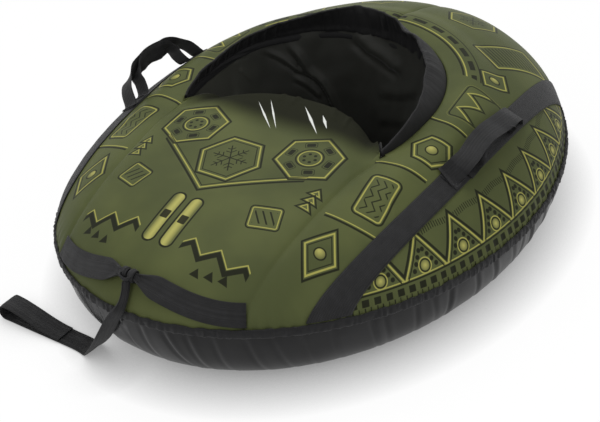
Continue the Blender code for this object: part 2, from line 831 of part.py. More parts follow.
def inner_tube():
    """Hollow rubber ring; the valve's bore opens its wall."""
    mesh_tool = bmesh.new()
    sections = [tube_section(angle) for angle in ANGLES]
    outside = skin(mesh_tool, [tube_ring(a, s) for a, s in zip(ANGLES, sections)], closed=True)
    bmesh.ops.recalc_face_normals(mesh_tool, faces=outside)
    walls = [tube_ring(a, inset_section(s, TUBE_WALL)) for a, s in zip(ANGLES, sections)]
    inside = skin(mesh_tool, walls, closed=True)
    bmesh.ops.recalc_face_normals(mesh_tool, faces=inside)
    bmesh.ops.reverse_faces(mesh_tool, faces=inside)
    made = finish("inner_tube", mesh_tool, RUBBER)
    centre, out = valve_seat()
    reach = 4 * TUBE_WALL
    cutter = turned("valve_bore_cutter", [(0, -reach), (STEM_BORE, -reach), (STEM_BORE, reach), (0, reach)],
                    centre, out, RUBBER)
    cutter.hide_render = True
    cutter.display_type = "WIRE"
    cut = made.modifiers.new("valve_bore", "BOOLEAN")
    cut.object = cutter
    cut.operation = "DIFFERENCE"
    cut.solver = "EXACT"
    return made


def valve():
    centre, out = valve_seat()
    foot = 2 * GAP
    boss_top = foot + BOSS_HEIGHT
    hole = STEM_RADIUS + GAP
    turned("valve_base", [(hole, foot), (PATCH_RADIUS, foot), (PATCH_RADIUS, foot + PATCH_THICKNESS),
                          (BOSS_RADIUS, foot + PATCH_THICKNESS), (BOSS_RADIUS, boss_top), (hole, boss_top)],
           centre, out, RUBBER)
    stem_top = foot + STEM_LENGTH
    turned("valve_stem", [(STEM_BORE, foot), (STEM_RADIUS, foot), (STEM_RADIUS, stem_top), (STEM_BORE, stem_top)],
           centre, out, BRASS)
    core_top = stem_top - GAP
    turned("valve_core", [(0, core_top - CORE_LENGTH), (CORE_RADIUS, core_top - CORE_LENGTH),
                          (CORE_RADIUS, core_top), (0, core_top)], centre, out, BRASS)
    cap_low = stem_top - CAP_COVERS
    cap_top = cap_low + CAP_LENGTH
    bore = STEM_RADIUS + GAP
    cap = turned("valve_cap", [(bore, cap_low), (bore + CAP_WALL, cap_low), (bore + CAP_WALL, cap_top), (0, cap_top),
                               (0, stem_top + GAP), (bore, stem_top + GAP)], centre, out, PLASTIC)
    carry(axis_empty("cap_axis", centre + out * stem_top), cap)


# Zip, in the frame of the seat's tilted plane

def zip_place(angle, reach, up):
    turn = Matrix.Rotation(SEAT_TILT, 3, "X")
    return HUB + UP * SEAT_HEIGHT + turn @ (ray(angle) * reach + UP * up)


def zip_strip(name, inner, outer, low, high, look):
    """A strip that follows the round edge of the seat."""
    rings = []
    trim = 2 * GAP / SEAT_RADIUS
    for angle in spread(ZIP_ANGLES[0] + trim, ZIP_ANGLES[-1] - trim, 2 * ZIP_STATIONS):
        rings.append([zip_place(angle, inner, low), zip_place(angle, outer, low),
                      zip_place(angle, outer, high), zip_place(angle, inner, high)])
    return loft(name, rings, look, smooth=False)


ZIP_INNER = SEAT_RADIUS + GAP
ZIP_COIL_INNER = ZIP_INNER + ZIP_TAPE + GAP
ZIP_COIL_OUTER = ZIP_COIL_INNER + ZIP_COIL_WIDTH
ZIP_CENTRE = (ZIP_COIL_INNER + ZIP_COIL_OUTER) / 2


def zip_row():
    low = -ZIP_TAPE_THICKNESS - GAP
    zip_strip("zip_tape_inner", ZIP_INNER, ZIP_INNER + ZIP_TAPE, low, -GAP, BLACK_CLOTH)
    zip_strip("zip_coil", ZIP_COIL_INNER, ZIP_COIL_OUTER, low, ZIP_COIL_RISE, PLASTIC)
    zip_strip("zip_tape_outer", ZIP_COIL_OUTER + GAP, ZIP_COIL_OUTER + GAP + ZIP_TAPE, low, -GAP, BLACK_CLOTH)


def slider_point(along, out, up):
    """A point in the slider's own frame: along the zip, outwards and up."""
    turn = Matrix.Rotation(SEAT_TILT, 3, "X")
    way = turn @ ray(SLIDER_ANGLE + math.pi / 2)
    return zip_place(SLIDER_ANGLE, ZIP_CENTRE + out, up) + way * along


SLIDER_LOW = ZIP_COIL_RISE + GAP
SLIDER_TOP = SLIDER_LOW + SLIDER_PLATE
PULL_AXIS = SLIDER_TOP + BRIDGE_HOLE / 2 + GAP / 2


def zip_slider():
    """Plate with rails beside the coil, and a bridge that holds the pull."""
    rail_inner = ZIP_COIL_WIDTH / 2 + 2 * GAP
    rail_outer = rail_inner + SLIDER_RAIL
    half = SLIDER_LENGTH / 2
    shape = [(-rail_outer, GAP), (-rail_inner, GAP), (-rail_inner, SLIDER_LOW), (rail_inner, SLIDER_LOW),
             (rail_inner, GAP), (rail_outer, GAP), (rail_outer, SLIDER_TOP), (-rail_outer, SLIDER_TOP)]
    outline = [slider_point(-half, out, up) for out, up in shape]
    length = slider_point(half, 0, 0) - slider_point(-half, 0, 0)
    slider = extrusion("zip_slider", outline, length, NICKEL)
    end = BRIDGE_LENGTH / 2
    hole = end - BRIDGE_WALL
    sunk = SLIDER_TOP - SLIDER_PLATE / 2
    roof = SLIDER_TOP + BRIDGE_HOLE
    arch = [(-end, sunk), (-hole, sunk), (-hole, roof), (hole, roof), (hole, sunk), (end, sunk),
            (end, roof + BRIDGE_WALL), (-end, roof + BRIDGE_WALL)]
    low = [slider_point(along, -BRIDGE_WIDTH / 2, up) for along, up in arch]
    depth = slider_point(0, BRIDGE_WIDTH / 2, 0) - slider_point(0, -BRIDGE_WIDTH / 2, 0)
    bridge = extrusion("bridge_shape", low, depth, NICKEL)
    bridge.hide_render = True
    bridge.display_type = "WIRE"
    join = slider.modifiers.new("bridge", "BOOLEAN")
    join.object = bridge
    join.operation = "UNION"
    join.solver = "EXACT"
    return slider


def zip_pull():
    """Flat tab whose crossbar passes under the bridge, drooping to the coil."""
    bar = PULL_THICKNESS / 2
    half = PULL_WIDTH / 2
    inside = half - PULL_THICKNESS
    outline = [(-bar, -half), (PULL_LENGTH, -half), (PULL_LENGTH, half), (-bar, half)]
    window = [(bar, -inside), (PULL_WINDOW, -inside), (PULL_WINDOW, inside), (bar, inside)]

    def place(along, out):
        drop = -bar
        return slider_point(along * math.cos(PULL_DROOP) + drop * math.sin(PULL_DROOP), out,
                            PULL_AXIS + drop * math.cos(PULL_DROOP) - along * math.sin(PULL_DROOP))

    lean = slider_point(math.sin(PULL_DROOP), 0, math.cos(PULL_DROOP)) - slider_point(0, 0, 0)
    return extrusion("zip_pull", [place(*spot) for spot in outline], lean * PULL_THICKNESS, NICKEL,
                     hole=[place(*spot) for spot in window])


# Side straps and handles

def strap_x(y):
    return HALF_WIDTH - SIDE_STRAP_INSET - SIDE_STRAP_BOW * (y / HALF_LENGTH) ** 2


def side_strap(side):
    """Webbing along the side panel, from the seam in front to the seam behind."""
    name = "side_strap_right" if side > 0 else "side_strap_left"
    stop = BINDING_HALF_HEIGHT + GAP
    half = SIDE_STRAP_PLAN_WIDTH / 2
    lines = []
    for shift in (-half, -half / 3, half / 3, half):
        def inside(y):
            x = strap_x(y) + shift
            if math.hypot(x / HALF_WIDTH, y / HALF_LENGTH) > 1:
                return 1
            return seam_height(y) + stop - top_height(x, y)
        rear = bisect(0, HALF_LENGTH, inside)
        front = -bisect(0, HALF_LENGTH, lambda y: inside(-y))
        line = []
        for step in range(23):
            y = mix(front, rear, (1 - math.cos(math.pi * step / 22)) / 2)
            point = top_point(strap_x(y) + shift, y, STRAP_GAP)
            line.append(Vector((side * point.x, point.y, point.z)))
        lines.append(line)
    return sheet(name, list(zip(*lines)), WEB_THICKNESS, -UP, WEBBING, offset=1)


def handle_frame(side, y, lift):
    """A point above the side strap with the strap's own directions there."""
    x = strap_x(y)
    up = top_normal(x, y)
    point = top_point(x, y, lift)
    step = FACET_GAP
    along = (top_point(strap_x(y + step), y + step, lift) - point).normalized()
    across = along.cross(up)
    flip = Vector((side, 1, 1))
    return [Vector(a * b for a, b in zip(v, flip)) for v in (point, along, across, up)]


def handle_foot(name, side, y):
    """Sewn end of the handle, flat on the side strap."""
    lift = STRAP_GAP + WEB_THICKNESS + FACET_GAP
    rows = []
    for share in spread(-0.5, 0.5, 3):
        here = y + FOOT_LENGTH * share
        row = []
        for wide in spread(-0.5, 0.5, 3):
            point = top_point(strap_x(here) + FOOT_WIDTH * wide, here, lift)
            row.append(Vector((side * point.x, point.y, point.z)))
        rows.append(row)
    return sheet(name, rows, WEB_THICKNESS, -UP, WEBBING, offset=1)


def handle_axis(side_name, side):
    """The two ends of the line about which the handle flops."""
    lift = STRAP_GAP + 2 * WEB_THICKNESS + FACET_GAP + GAP + HANDLE_END_RADIUS
    return [handle_frame(side, y, lift)[0] for y in HANDLE_FEET[side_name]]


def handle(side_name, side):
    """Arch of webbing, rolled round at its two ends and flat and turned over the hand."""
    front, rear = handle_axis(side_name, side)
    middle = sum(HANDLE_FEET[side_name]) / 2
    up = handle_frame(side, middle, 0)[3]
    along = (rear - front).normalized()
    up = (up - along * up.dot(along)).normalized()
    lateral = along.cross(up)
    if lateral.x * side < 0:
        lateral.negate()
    rise = HANDLE_RISE[side_name]
    centres = []
    acrosses = []
    widths = []
    thicknesses = []
    steps = 18
    for step in range(steps + 1):
        turn = math.pi * step / steps
        share = (1 - math.cos(turn)) / 2
        height = rise * math.sin(turn) ** 0.8 if 0 < step < steps else 0
        open_share = smooth_step(height / (5 * HANDLE_END_RADIUS))
        roll = HANDLE_ROLL[side_name] * smooth_step(height / rise)
        centres.append(front.lerp(rear, share) + up * height)
        acrosses.append(lateral * math.cos(roll) - up * math.sin(roll))
        widths.append(mix(HANDLE_END_RADIUS, WEB_WIDTH / 2, open_share))
        thicknesses.append(mix(HANDLE_END_RADIUS * HANDLE_END_SHARE, HANDLE_THICKNESS / 2, open_share))
    sole = up * HANDLE_END_RADIUS * HANDLE_END_SHARE
    centres = [front - sole] + centres + [rear - sole]
    acrosses = acrosses[:1] + acrosses + acrosses[-1:]
    widths = [HANDLE_END_RADIUS / 2] + widths + [HANDLE_END_RADIUS / 2]
    thicknesses = [HANDLE_END_RADIUS / 2] + thicknesses + [HANDLE_END_RADIUS / 2]
    arch = ribbon("handle_" + side_name, centres, acrosses, widths, thicknesses, WEBBING)
    carry(axis_empty("handle_axis_" + side_name, (front + rear) / 2), arch)
    for place, y in zip(("front", "rear"), HANDLE_FEET[side_name]):
        handle_foot("handle_foot_" + side_name + "_" + place, side, y)


# Bridle and tow strap

def bridle_point(x):
    """Where the bridle's centre line crosses the deck, higher in the middle."""
    rise = mix(BRIDLE_MID_RISE, BRIDLE_END_RISE, smooth_step(abs(x) / deck_edge(-HALF_LENGTH)))
    rim_y = -HALF_LENGTH * math.sqrt(1 - (x / HALF_WIDTH) ** 2)
    share = bisect(UNDERSIDE_SHARE, 1, lambda s: seam_height(rim_y) + rise - top_height(x, rim_y * s))
    return share * rim_y


def bridle_centre(x):
    share = smooth_step(1.6 * abs(x) / DECK_HALF_WIDTH - 0.05)
    bunched = HITCH_OUTER_RADIUS + FACET_GAP
    flat = WEB_THICKNESS / 2 + FACET_GAP
    return top_point(x, bridle_point(x), mix(bunched, flat, share))


def bridle():
    """Webbing sewn into the deck's long seams and bunched round where the tow strap holds it."""
    end = deck_edge(-HALF_LENGTH * UNDERSIDE_SHARE) - 4 * GAP
    xs = [end * math.sin(math.pi / 2 * step / 12) for step in range(-12, 13)]
    centres = [bridle_centre(x) for x in xs]
    acrosses = []
    widths = []
    thicknesses = []
    for x, centre in zip(xs, centres):
        up = top_normal(x, bridle_point(x))
        step = FACET_GAP
        inner = math.copysign(min(abs(x), end - step), x)
        way = bridle_centre(inner + step) - bridle_centre(inner - step)
        acrosses.append(up.cross(way).normalized())
        flat_share = smooth_step(1.5 * abs(x) / DECK_HALF_WIDTH - 0.1)
        widths.append(mix(BRIDLE_BUNCH_RADIUS, WEB_WIDTH / 2, flat_share))
        thicknesses.append(mix(BRIDLE_BUNCH_RADIUS, WEB_THICKNESS / 2, flat_share))
    return ribbon("bridle", centres, acrosses, widths, thicknesses, WEBBING)


def tow_hitch():
    """Round turn of the strap about the bunched bridle."""
    inner = HITCH_INNER_RADIUS
    outer = HITCH_OUTER_RADIUS
    half = HITCH_WIDTH / 2
    ease = (outer - inner) / 3
    profile = [(inner, -half + ease), (inner + ease, -half), (outer - ease, -half), (outer, -half + ease),
               (outer, half - ease), (outer - ease, half), (inner + ease, half), (inner, half - ease)]
    return turned("tow_hitch", profile, bridle_centre(0), Vector((1, 0, 0)), WEBBING, segments=16)


def tow_strap():
    """Stretch that hangs from the hitch to the ground, opening from a bunch to its full width."""
    route = smooth_route(HANGING_ROUTE, 2)
    count = len(route) - 1
    acrosses = []
    widths = []
    thicknesses = []
    for here in range(count + 1):
        share = smooth_step(here / count * 1.15 - 0.25)
        acrosses.append(Vector((mix(1, 0, share), mix(0.3, 1, share), 0)).normalized())
        widths.append(mix(STRAP_BUNCH_WIDTH, WEB_WIDTH, share) / 2)
        thicknesses.append(mix(STRAP_BUNCH_THICKNESS, STRAP_THICKNESS, smooth_step(2 * share)) / 2)
    return ribbon("tow_strap_upper", route, acrosses, widths, thicknesses, WEBBING)


def floor_strap():
    """Doubled stretch on the ground."""
    route = smooth_route(FLOOR_ROUTE, 2)
    count = len(route)
    return ribbon("tow_strap_lower", route, [Vector((0, 1, 0))] * count, [WEB_WIDTH / 2] * count,
                  [STRAP_THICKNESS / 2] * count, WEBBING)


def hand_loop():
    """Teardrop eye for the hand at the end of the strap, lying on its lower ply."""
    start = Vector(FLOOR_ROUTE[-1])
    start.z = GAP
    way = Vector((-1, 0, 0))
    across = UP.cross(way)
    base = start + way * GAP

    radius = LOOP_HEIGHT / 2
    bend = LOOP_LENGTH - radius

    def outline(inset):
        """From the sewn end over the upper ply, round the far end and back along the ground."""
        first = LOOP_SEWN * (inset > 0)
        points = []
        for share in spread(0, 1, 7):
            along = mix(first, bend, share)
            lift = 2 * LOOP_PLY + (LOOP_HEIGHT - 2 * LOOP_PLY) * smooth_step(along / bend)
            points.append((along, max(lift - inset, LOOP_PLY + GAP)))
        for step in range(1, 6):
            turn = math.pi * step / 6
            points.append((bend + (radius - inset) * math.sin(turn), radius + (radius - inset) * math.cos(turn)))
        for share in spread(0, 1, 7):
            points.append((mix(bend, first, share), inset))
        return [base + way * along + UP * height - across * WEB_WIDTH / 2 for along, height in points]

    return extrusion("hand_loop", outline(0), across * WEB_WIDTH, WEBBING, hole=outline(LOOP_PLY))


# The whole part

front_panel()
for way_out in (-1, 1):
    side_panel(way_out)
    side_strap(way_out)
bottom_cover()
edge_binding()
seat_wall()
seat_floor()
seat_collar()
collar_elastic()
inner_tube()
valve()
zip_row()
slider_axis = axis_empty("zip_axis", HUB + UP * SEAT_HEIGHT)
pull_axis = axis_empty("pull_axis", slider_point(0, 0, PULL_AXIS))
carry(slider_axis, zip_slider())
carry(pull_axis, zip_pull())
for side_name, way_out in (("left", -1), ("right", 1)):
    handle(side_name, way_out)
bridle()
strap_axis = axis_empty("strap_axis", bridle_centre(0))
fold_axis = axis_empty("fold_axis", Vector(FOLD_POINT))
carry(strap_axis, tow_hitch(), tow_strap())
carry(fold_axis, floor_strap(), hand_loop())
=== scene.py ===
from math import acos, atan2, copysign, cos, degrees, exp, hypot, pi, prod, radians, sin, sqrt, tan

import bmesh
import bpy
from mathutils import Matrix, Vector, noise


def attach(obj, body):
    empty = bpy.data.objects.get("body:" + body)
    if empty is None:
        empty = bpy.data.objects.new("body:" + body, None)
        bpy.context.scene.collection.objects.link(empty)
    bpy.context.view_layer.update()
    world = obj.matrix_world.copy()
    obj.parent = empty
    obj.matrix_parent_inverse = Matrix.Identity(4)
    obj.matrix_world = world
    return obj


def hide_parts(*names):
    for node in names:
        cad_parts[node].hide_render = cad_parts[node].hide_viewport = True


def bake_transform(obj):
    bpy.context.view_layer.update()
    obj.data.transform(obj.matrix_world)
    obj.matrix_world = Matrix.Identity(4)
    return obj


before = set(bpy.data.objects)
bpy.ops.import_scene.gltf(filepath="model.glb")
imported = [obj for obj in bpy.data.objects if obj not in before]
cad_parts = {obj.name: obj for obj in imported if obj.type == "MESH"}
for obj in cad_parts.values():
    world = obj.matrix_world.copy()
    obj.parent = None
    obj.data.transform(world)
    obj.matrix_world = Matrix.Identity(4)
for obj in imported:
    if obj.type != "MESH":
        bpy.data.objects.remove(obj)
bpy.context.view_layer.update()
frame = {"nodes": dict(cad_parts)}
up = Vector((0, 0, 1))


# small number helpers

def mix(low, high, share):
    return low + (high - low) * share


def clamp(value, low=0.0, high=1.0):
    return min(max(value, low), high)


def smoothStep(share):
    share = clamp(share)
    return share * share * (3 - 2 * share)


def bell(distance, width):
    return exp(-(distance / width) ** 2)


def crossing(low, high, test):  # where test turns from negative to positive
    for _ in range(34):
        middle = (low + high) / 2
        if test(middle) > 0:
            high = middle
        else:
            low = middle
    return (low + high) / 2


def ripple(x, y=0.0, seed=0.0):
    return noise.noise(Vector((x, y, seed)))


def shares(count):  # from 0 to 1 in even steps
    return [step / count for step in range(count + 1)]


def turns(count):  # once round, the first angle again at the end
    return [2 * pi * step / count for step in range(count + 1)]


# form of the inflated body, the same as the solid one

body = {
    "halfLength": 0.547, "halfWidth": 0.427, "seamHeight": 0.108, "seamEndLift": 0.023, "seamRearDrop": 0.013,
    "crownRise": 0.168, "crownRearLift": 0.037, "crownStartShare": 0.35, "crownPower": 0.556,
    "undersideShare": 0.7825, "undersidePower": 2.25,
}
seat = {
    "y": 0.018, "radius": 0.2355, "sideLength": 0.142, "sideDraw": 0.0265, "height": 0.2672, "tilt": radians(4.5),
    "flat": 0.027, "blend": 0.075, "taper": 0.065, "taperPower": 1.15, "fade": radians(35),
}
tongue = {"y": 0.033, "power": 2.3, "roll": 0.09, "depth": 0.085, "roomShare": 0.7, "fade": radians(26)}
deck = {"halfWidth": 0.193, "flare": 0.0225, "flarePower": 1.2}
halfLength, halfWidth = body["halfLength"], body["halfWidth"]
hub = Vector((0, seat["y"], 0))


def ray(angle):
    return Vector((sin(angle), -cos(angle), 0))


def rimRadius(angle):
    way = ray(angle)
    square = (way.x / halfWidth) ** 2 + (way.y / halfLength) ** 2
    linear = 2 * seat["y"] * way.y / halfLength ** 2
    rest = (seat["y"] / halfLength) ** 2 - 1
    return (-linear + sqrt(linear ** 2 - 4 * square * rest)) / (2 * square)


def rimAt(angle):  # a point of the seam and its outward direction
    rim = hub + ray(angle) * rimRadius(angle)
    rim.z = seamHeight(rim.y)
    return rim, Vector((rim.x / halfWidth ** 2, rim.y / halfLength ** 2, 0)).normalized()


def planShare(x, y):  # 0 at the middle, 1 at the seam
    return hypot(x / halfWidth, y / halfLength)


def seamHeight(y):
    share = y / halfLength
    return body["seamHeight"] + body["seamEndLift"] * share ** 2 - body["seamRearDrop"] * share


def sideDraw(y):
    return seat["sideDraw"] * clamp((seat["y"] - y) / seat["sideLength"]) ** 3


def seatRadius(angle, grow=0.0):
    way = ray(angle)
    if way.y >= 0:
        return (seat["radius"] + grow) / hypot(way.x, way.y / cos(seat["tilt"]))
    return crossing(0, rimRadius(angle),
                    lambda reach: abs(way.x) * reach + sideDraw(seat["y"] + way.y * reach) - seat["radius"] - grow)


def seatPlane(y):
    return seat["height"] + (y - seat["y"]) * tan(seat["tilt"])


def deckEdge(y):
    share = max(y + halfLength, 0) / (halfLength + seat["y"] - seat["sideLength"])
    return deck["halfWidth"] + deck["flare"] * share ** deck["flarePower"]


def deckRadius(angle, shift=0.0):
    way = ray(angle)
    return crossing(0, rimRadius(angle), lambda reach: abs(way.x) * reach - deckEdge(seat["y"] + way.y * reach) - shift)


def edgeGap(angle, reach):
    point = hub + ray(angle) * reach
    return point.x - deckEdge(point.y)


frontAngle = crossing(0, pi / 2, lambda angle: edgeGap(angle, rimRadius(angle)))
cornerAngle = crossing(frontAngle, pi / 2, lambda angle: edgeGap(angle, seatRadius(angle)))
corner = hub + ray(cornerAngle) * seatRadius(cornerAngle)


def tongueY(x):
    return mix(tongue["y"], corner.y, min(abs(x) / corner.x, 1) ** tongue["power"])


def seatDistance(x, y):
    if y >= seat["y"]:
        return hypot(x, y - seat["y"]) - seat["radius"]
    return max(abs(x) + sideDraw(y) - seat["radius"], tongueY(x) - y)


def topHeight(x, y):
    share = planShare(x, y)
    fall = clamp((share - body["crownStartShare"]) / (1 - body["crownStartShare"]))
    rise = body["crownRise"] + body["crownRearLift"] * y / halfLength
    dome = seamHeight(y) + rise * (1 - fall ** 2) ** body["crownPower"]
    return mix(seatPlane(y), dome, smoothStep((seatDistance(x, y) - seat["flat"]) / seat["blend"]))


def topNormal(x, y):
    share = planShare(x, y)
    if share > 0.985:  # the last bit before the seam is too steep to read
        x, y = x * 0.985 / share, y * 0.985 / share
    step = 0.0015
    slopeX = (topHeight(x + step, y) - topHeight(x - step, y)) / (2 * step)
    slopeY = (topHeight(x, y + step) - topHeight(x, y - step)) / (2 * step)
    return Vector((-slopeX, -slopeY, 1)).normalized()


def topPoint(x, y, lift=0.0):
    return Vector((x, y, topHeight(x, y))) + topNormal(x, y) * lift


def signedAngle(angle):
    return angle if angle <= pi else angle - 2 * pi


def edgePoint(angle):  # the seat's edge in plan
    turn = signedAngle(angle)
    if abs(turn) >= cornerAngle:
        return hub + ray(angle) * seatRadius(angle)
    x = corner.x * turn / cornerAngle
    return Vector((x, tongueY(x), 0))


def edgeInward(angle):
    turn = signedAngle(angle)
    away = -ray(angle)
    if abs(turn) >= cornerAngle:
        return away
    x = edgePoint(angle).x
    slope = (tongueY(x + 0.001) - tongueY(x - 0.001)) / 0.002
    front = Vector((-slope, 1, 0)).normalized()
    return front.lerp(away, smoothStep((abs(turn) - cornerAngle * 0.93) / (cornerAngle * 0.07))).normalized()


def deckEnd(angle):
    atRim = abs(signedAngle(angle)) <= frontAngle
    return hub + ray(angle) * (rimRadius(angle) if atRim else deckRadius(angle, -0.0002))


def lipRoll(angle):
    return pi / 2 * smoothStep((cornerAngle - abs(signedAngle(angle))) / tongue["fade"])


def lipScale(angle):
    return min(1, (deckEnd(angle) - edgePoint(angle)).length * tongue["roomShare"] / tongue["roll"])


def lipReach(angle):
    return tongue["roll"] * lipScale(angle) * sin(lipRoll(angle))


def lipDrop(angle):
    return tongue["depth"] * lipScale(angle) * (1 - cos(lipRoll(angle)))


def wellInset(height, angle):
    top = seatPlane(edgePoint(angle).y)
    side = smoothStep((abs(signedAngle(angle)) - cornerAngle) / seat["fade"])
    return seat["taper"] * side * clamp((top - height) / top) ** seat["taperPower"]


print("form of the body is set")


# mesh helpers

coverThickness = 0.0016


def newPiece(name, meshTool, material, *nodes, thickness=0.0, rides="root"):
    mesh = bpy.data.meshes.new(name)
    meshTool.to_mesh(mesh)
    meshTool.free()
    piece = bpy.data.objects.new(name, mesh)
    bpy.context.scene.collection.objects.link(piece)
    mesh.materials.append(material)
    mesh.shade_smooth()
    mesh.set_sharp_from_angle(angle=radians(50))
    if thickness:
        wall = piece.modifiers.new("wall", "SOLIDIFY")
        wall.thickness = thickness
        wall.offset = -1
    if rides:
        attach(piece, rides)
    if nodes:
        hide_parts(*nodes)
    return piece


def clothGrid(columns, columnAt, joined=False, flip=False, outward=False):
    # a grid moved to columnAt(u): a column's points, and the cloth's own measure in metres at each
    net = [columnAt(share) for share in shares(columns)]
    rows = len(net[0][0]) - 1
    meshTool = bmesh.new()
    bmesh.ops.create_grid(meshTool, x_segments=columns, y_segments=rows, size=0.5)
    meshTool.verts.index_update()
    cut = meshTool.loops.layers.uv.new("cut")
    places = [(round((vert.co.x + 0.5) * columns), round((vert.co.y + 0.5) * rows)) for vert in meshTool.verts]
    for face in meshTool.faces:
        for loop in face.loops:
            column, row = places[loop.vert.index]
            loop[cut].uv = net[column][1][row]
    for vert, (column, row) in zip(meshTool.verts, places):
        vert.co = net[column][0][row]
    if joined:
        bmesh.ops.remove_doubles(meshTool, verts=meshTool.verts, dist=0.00001)
    if flip:
        bmesh.ops.reverse_faces(meshTool, faces=meshTool.faces)
    if outward:
        bmesh.ops.recalc_face_normals(meshTool, faces=meshTool.faces)
    return meshTool


def lengthsAlong(points):  # distance from the first point at each point
    total = [0.0]
    for before, after in zip(points, points[1:]):
        total.append(total[-1] + (after - before).length)
    return total


def measured(along, points, fromEnd=False):
    lengths = lengthsAlong(points)
    return points, [(along, lengths[-1] - length if fromEnd else length) for length in lengths]


def tableAt(table, place):  # smooth reading of rows of (place, value, value ...)
    if place <= table[0][0]:
        return table[0][1:]
    for low, high in zip(table, table[1:]):
        if place <= high[0]:
            share = (place - low[0]) / (high[0] - low[0])
            return tuple(mix(a, b, share) for a, b in zip(low[1:], high[1:]))
    return table[-1][1:]


def smoothRoute(points, perSpan):  # a smooth curve through the points
    knots = [Vector(point) for point in points]
    knots = [2 * knots[0] - knots[1]] + knots + [2 * knots[-1] - knots[-2]]
    route = []
    for here in range(1, len(knots) - 2):
        before, start, end, after = knots[here - 1:here + 3]
        for step in range(perSpan):
            t = step / perSpan
            route.append((2 * start + (end - before) * t + (2 * before - 5 * start + 4 * end - after) * t ** 2
                          + (3 * start - before - 3 * end + after) * t ** 3) / 2)
    route.append(knots[-2])
    return route


def routeAt(route, share):  # point and direction at a share of the route's points
    place = clamp(share) * (len(route) - 1)
    here = min(int(place), len(route) - 2)
    point = route[here].lerp(route[here + 1], place - here)
    before = route[max(here - 1, 0)].lerp(route[max(here, 1)], place - here)
    after = route[min(here + 1, len(route) - 2)].lerp(route[min(here + 2, len(route) - 1)], place - here)
    return point, (after - before).normalized()


def valueAt(value, u):
    return value(u) if callable(value) else value


def bandGrid(route, across, width, thickness, columns, around=20, wave=None):
    # a flat band with eased edges; across, width and thickness may change with the share along it
    length = lengthsAlong(route)[-1]

    def columnAt(u):
        point, way = routeAt(route, u)
        side = valueAt(across, u)
        side = (side - way * side.dot(way)).normalized()
        through = way.cross(side)
        wide, thick = valueAt(width, u), valueAt(thickness, u)
        ring, measures = [], []
        for turn in turns(around):
            flatX = copysign(abs(cos(turn)) ** 0.45, cos(turn))
            flatZ = copysign(abs(sin(turn)) ** 0.6, sin(turn))
            lift = wave(u, flatX) if wave else 0.0
            ring.append(point + side * flatX * wide / 2 + through * (flatZ * thick / 2 + lift))
            measures.append((u * length, cos(turn) * wide / 2))
        return ring, measures

    meshTool = clothGrid(columns, columnAt, joined=True)
    bmesh.ops.holes_fill(meshTool, edges=[edge for edge in meshTool.edges if edge.is_boundary], sides=0)
    bmesh.ops.recalc_face_normals(meshTool, faces=meshTool.faces)
    return meshTool


# shader helpers

class Wire:  # wraps a socket, so that sums and products of wires add their nodes
    def __init__(self, paint, socket):
        self.paint = paint
        self.socket = socket

    def maths(self, operation, *others):
        return self.paint.node("ShaderNodeMath", {"operation": operation}, [self, *others])

    def __add__(self, other):
        return self.maths("ADD", other)

    __radd__ = __add__

    def __sub__(self, other):
        return self.maths("SUBTRACT", other)

    def __rsub__(self, other):
        return self.paint.node("ShaderNodeMath", {"operation": "SUBTRACT"}, [other, self])

    def __mul__(self, other):
        return self.maths("MULTIPLY", other)

    __rmul__ = __mul__

    def __truediv__(self, other):
        return self.maths("DIVIDE", other)

    def __abs__(self):
        return self.maths("ABSOLUTE")

    def __neg__(self):
        return self * -1.0

    def least(self, other):
        return self.maths("MINIMUM", other)

    def most(self, other):
        return self.maths("MAXIMUM", other)

    def wrap(self, period):  # distance from the nearest multiple of period, with its sign
        return self.maths("WRAP", period / 2, -period / 2)

    def step(self, low, high):  # smooth step from 0 at low to 1 at high
        return self.paint.node("ShaderNodeMapRange", {"interpolation_type": "SMOOTHSTEP"},
                               {"Value": self, "From Min": low, "From Max": high})


class Paint:  # one material, or the world, and its nodes
    def __init__(self, owner, shader="Principled BSDF", **constants):
        self.material = bpy.data.materials.new(owner) if isinstance(owner, str) else owner
        self.material.use_nodes = True
        self.tree = self.material.node_tree
        self.shader = self.tree.nodes[shader]
        for socket, value in constants.items():
            self.shader.inputs[socket.replace("_", " ")].default_value = value

    def node(self, kind, settings=None, values=None, out=0):
        made = self.tree.nodes.new(kind)
        for key, value in (settings or {}).items():
            setattr(made, key, value)
        pairs = values.items() if isinstance(values, dict) else enumerate(values or [])
        for key, value in pairs:
            if isinstance(value, Wire):
                self.tree.links.new(value.socket, made.inputs[key])
            else:
                made.inputs[key].default_value = value
        return Wire(self, made.outputs[out])

    def objectPoint(self):
        return self.node("ShaderNodeTexCoord", out=3)

    def split(self, vector):
        made = self.node("ShaderNodeSeparateXYZ", {}, [vector])
        return [Wire(self, made.socket.node.outputs[index]) for index in range(3)]

    def cut(self):  # the piece's own lengthwise and crosswise measure, in metres
        return self.split(self.node("ShaderNodeUVMap", {"uv_map": "cut"}))[:2]

    def blend(self, factor, first, second):
        return self.node("ShaderNodeMix", {"data_type": "RGBA"}, {0: factor, 6: first, 7: second}, out=2)

    def grain(self, vector, scale, detail=2.0, roughness=0.5):
        return self.node("ShaderNodeTexNoise", {}, {"Vector": vector, "Scale": scale, "Detail": detail,
                                                    "Roughness": roughness})

    def bump(self, height, strength=1.0, distance=0.001):
        made = self.node("ShaderNodeBump", {}, {"Strength": strength, "Distance": distance, "Height": height})
        self.feed("Normal", made)

    def plainShare(self):  # 1 where the lens, a gloss or a clear body sees the surface
        rays = [self.node("ShaderNodeLightPath", out=name)
                for name in ("Is Camera Ray", "Is Glossy Ray", "Is Transmission Ray")]
        return rays[0].most(rays[1]).most(rays[2])

    def feed(self, socket, value):
        self.tree.links.new(value.socket, self.shader.inputs[socket])


def colour(red, green, blue):
    return (red, green, blue, 1.0)


def hypotenuse(x, y):
    return (x * x + y * y).maths("SQRT")


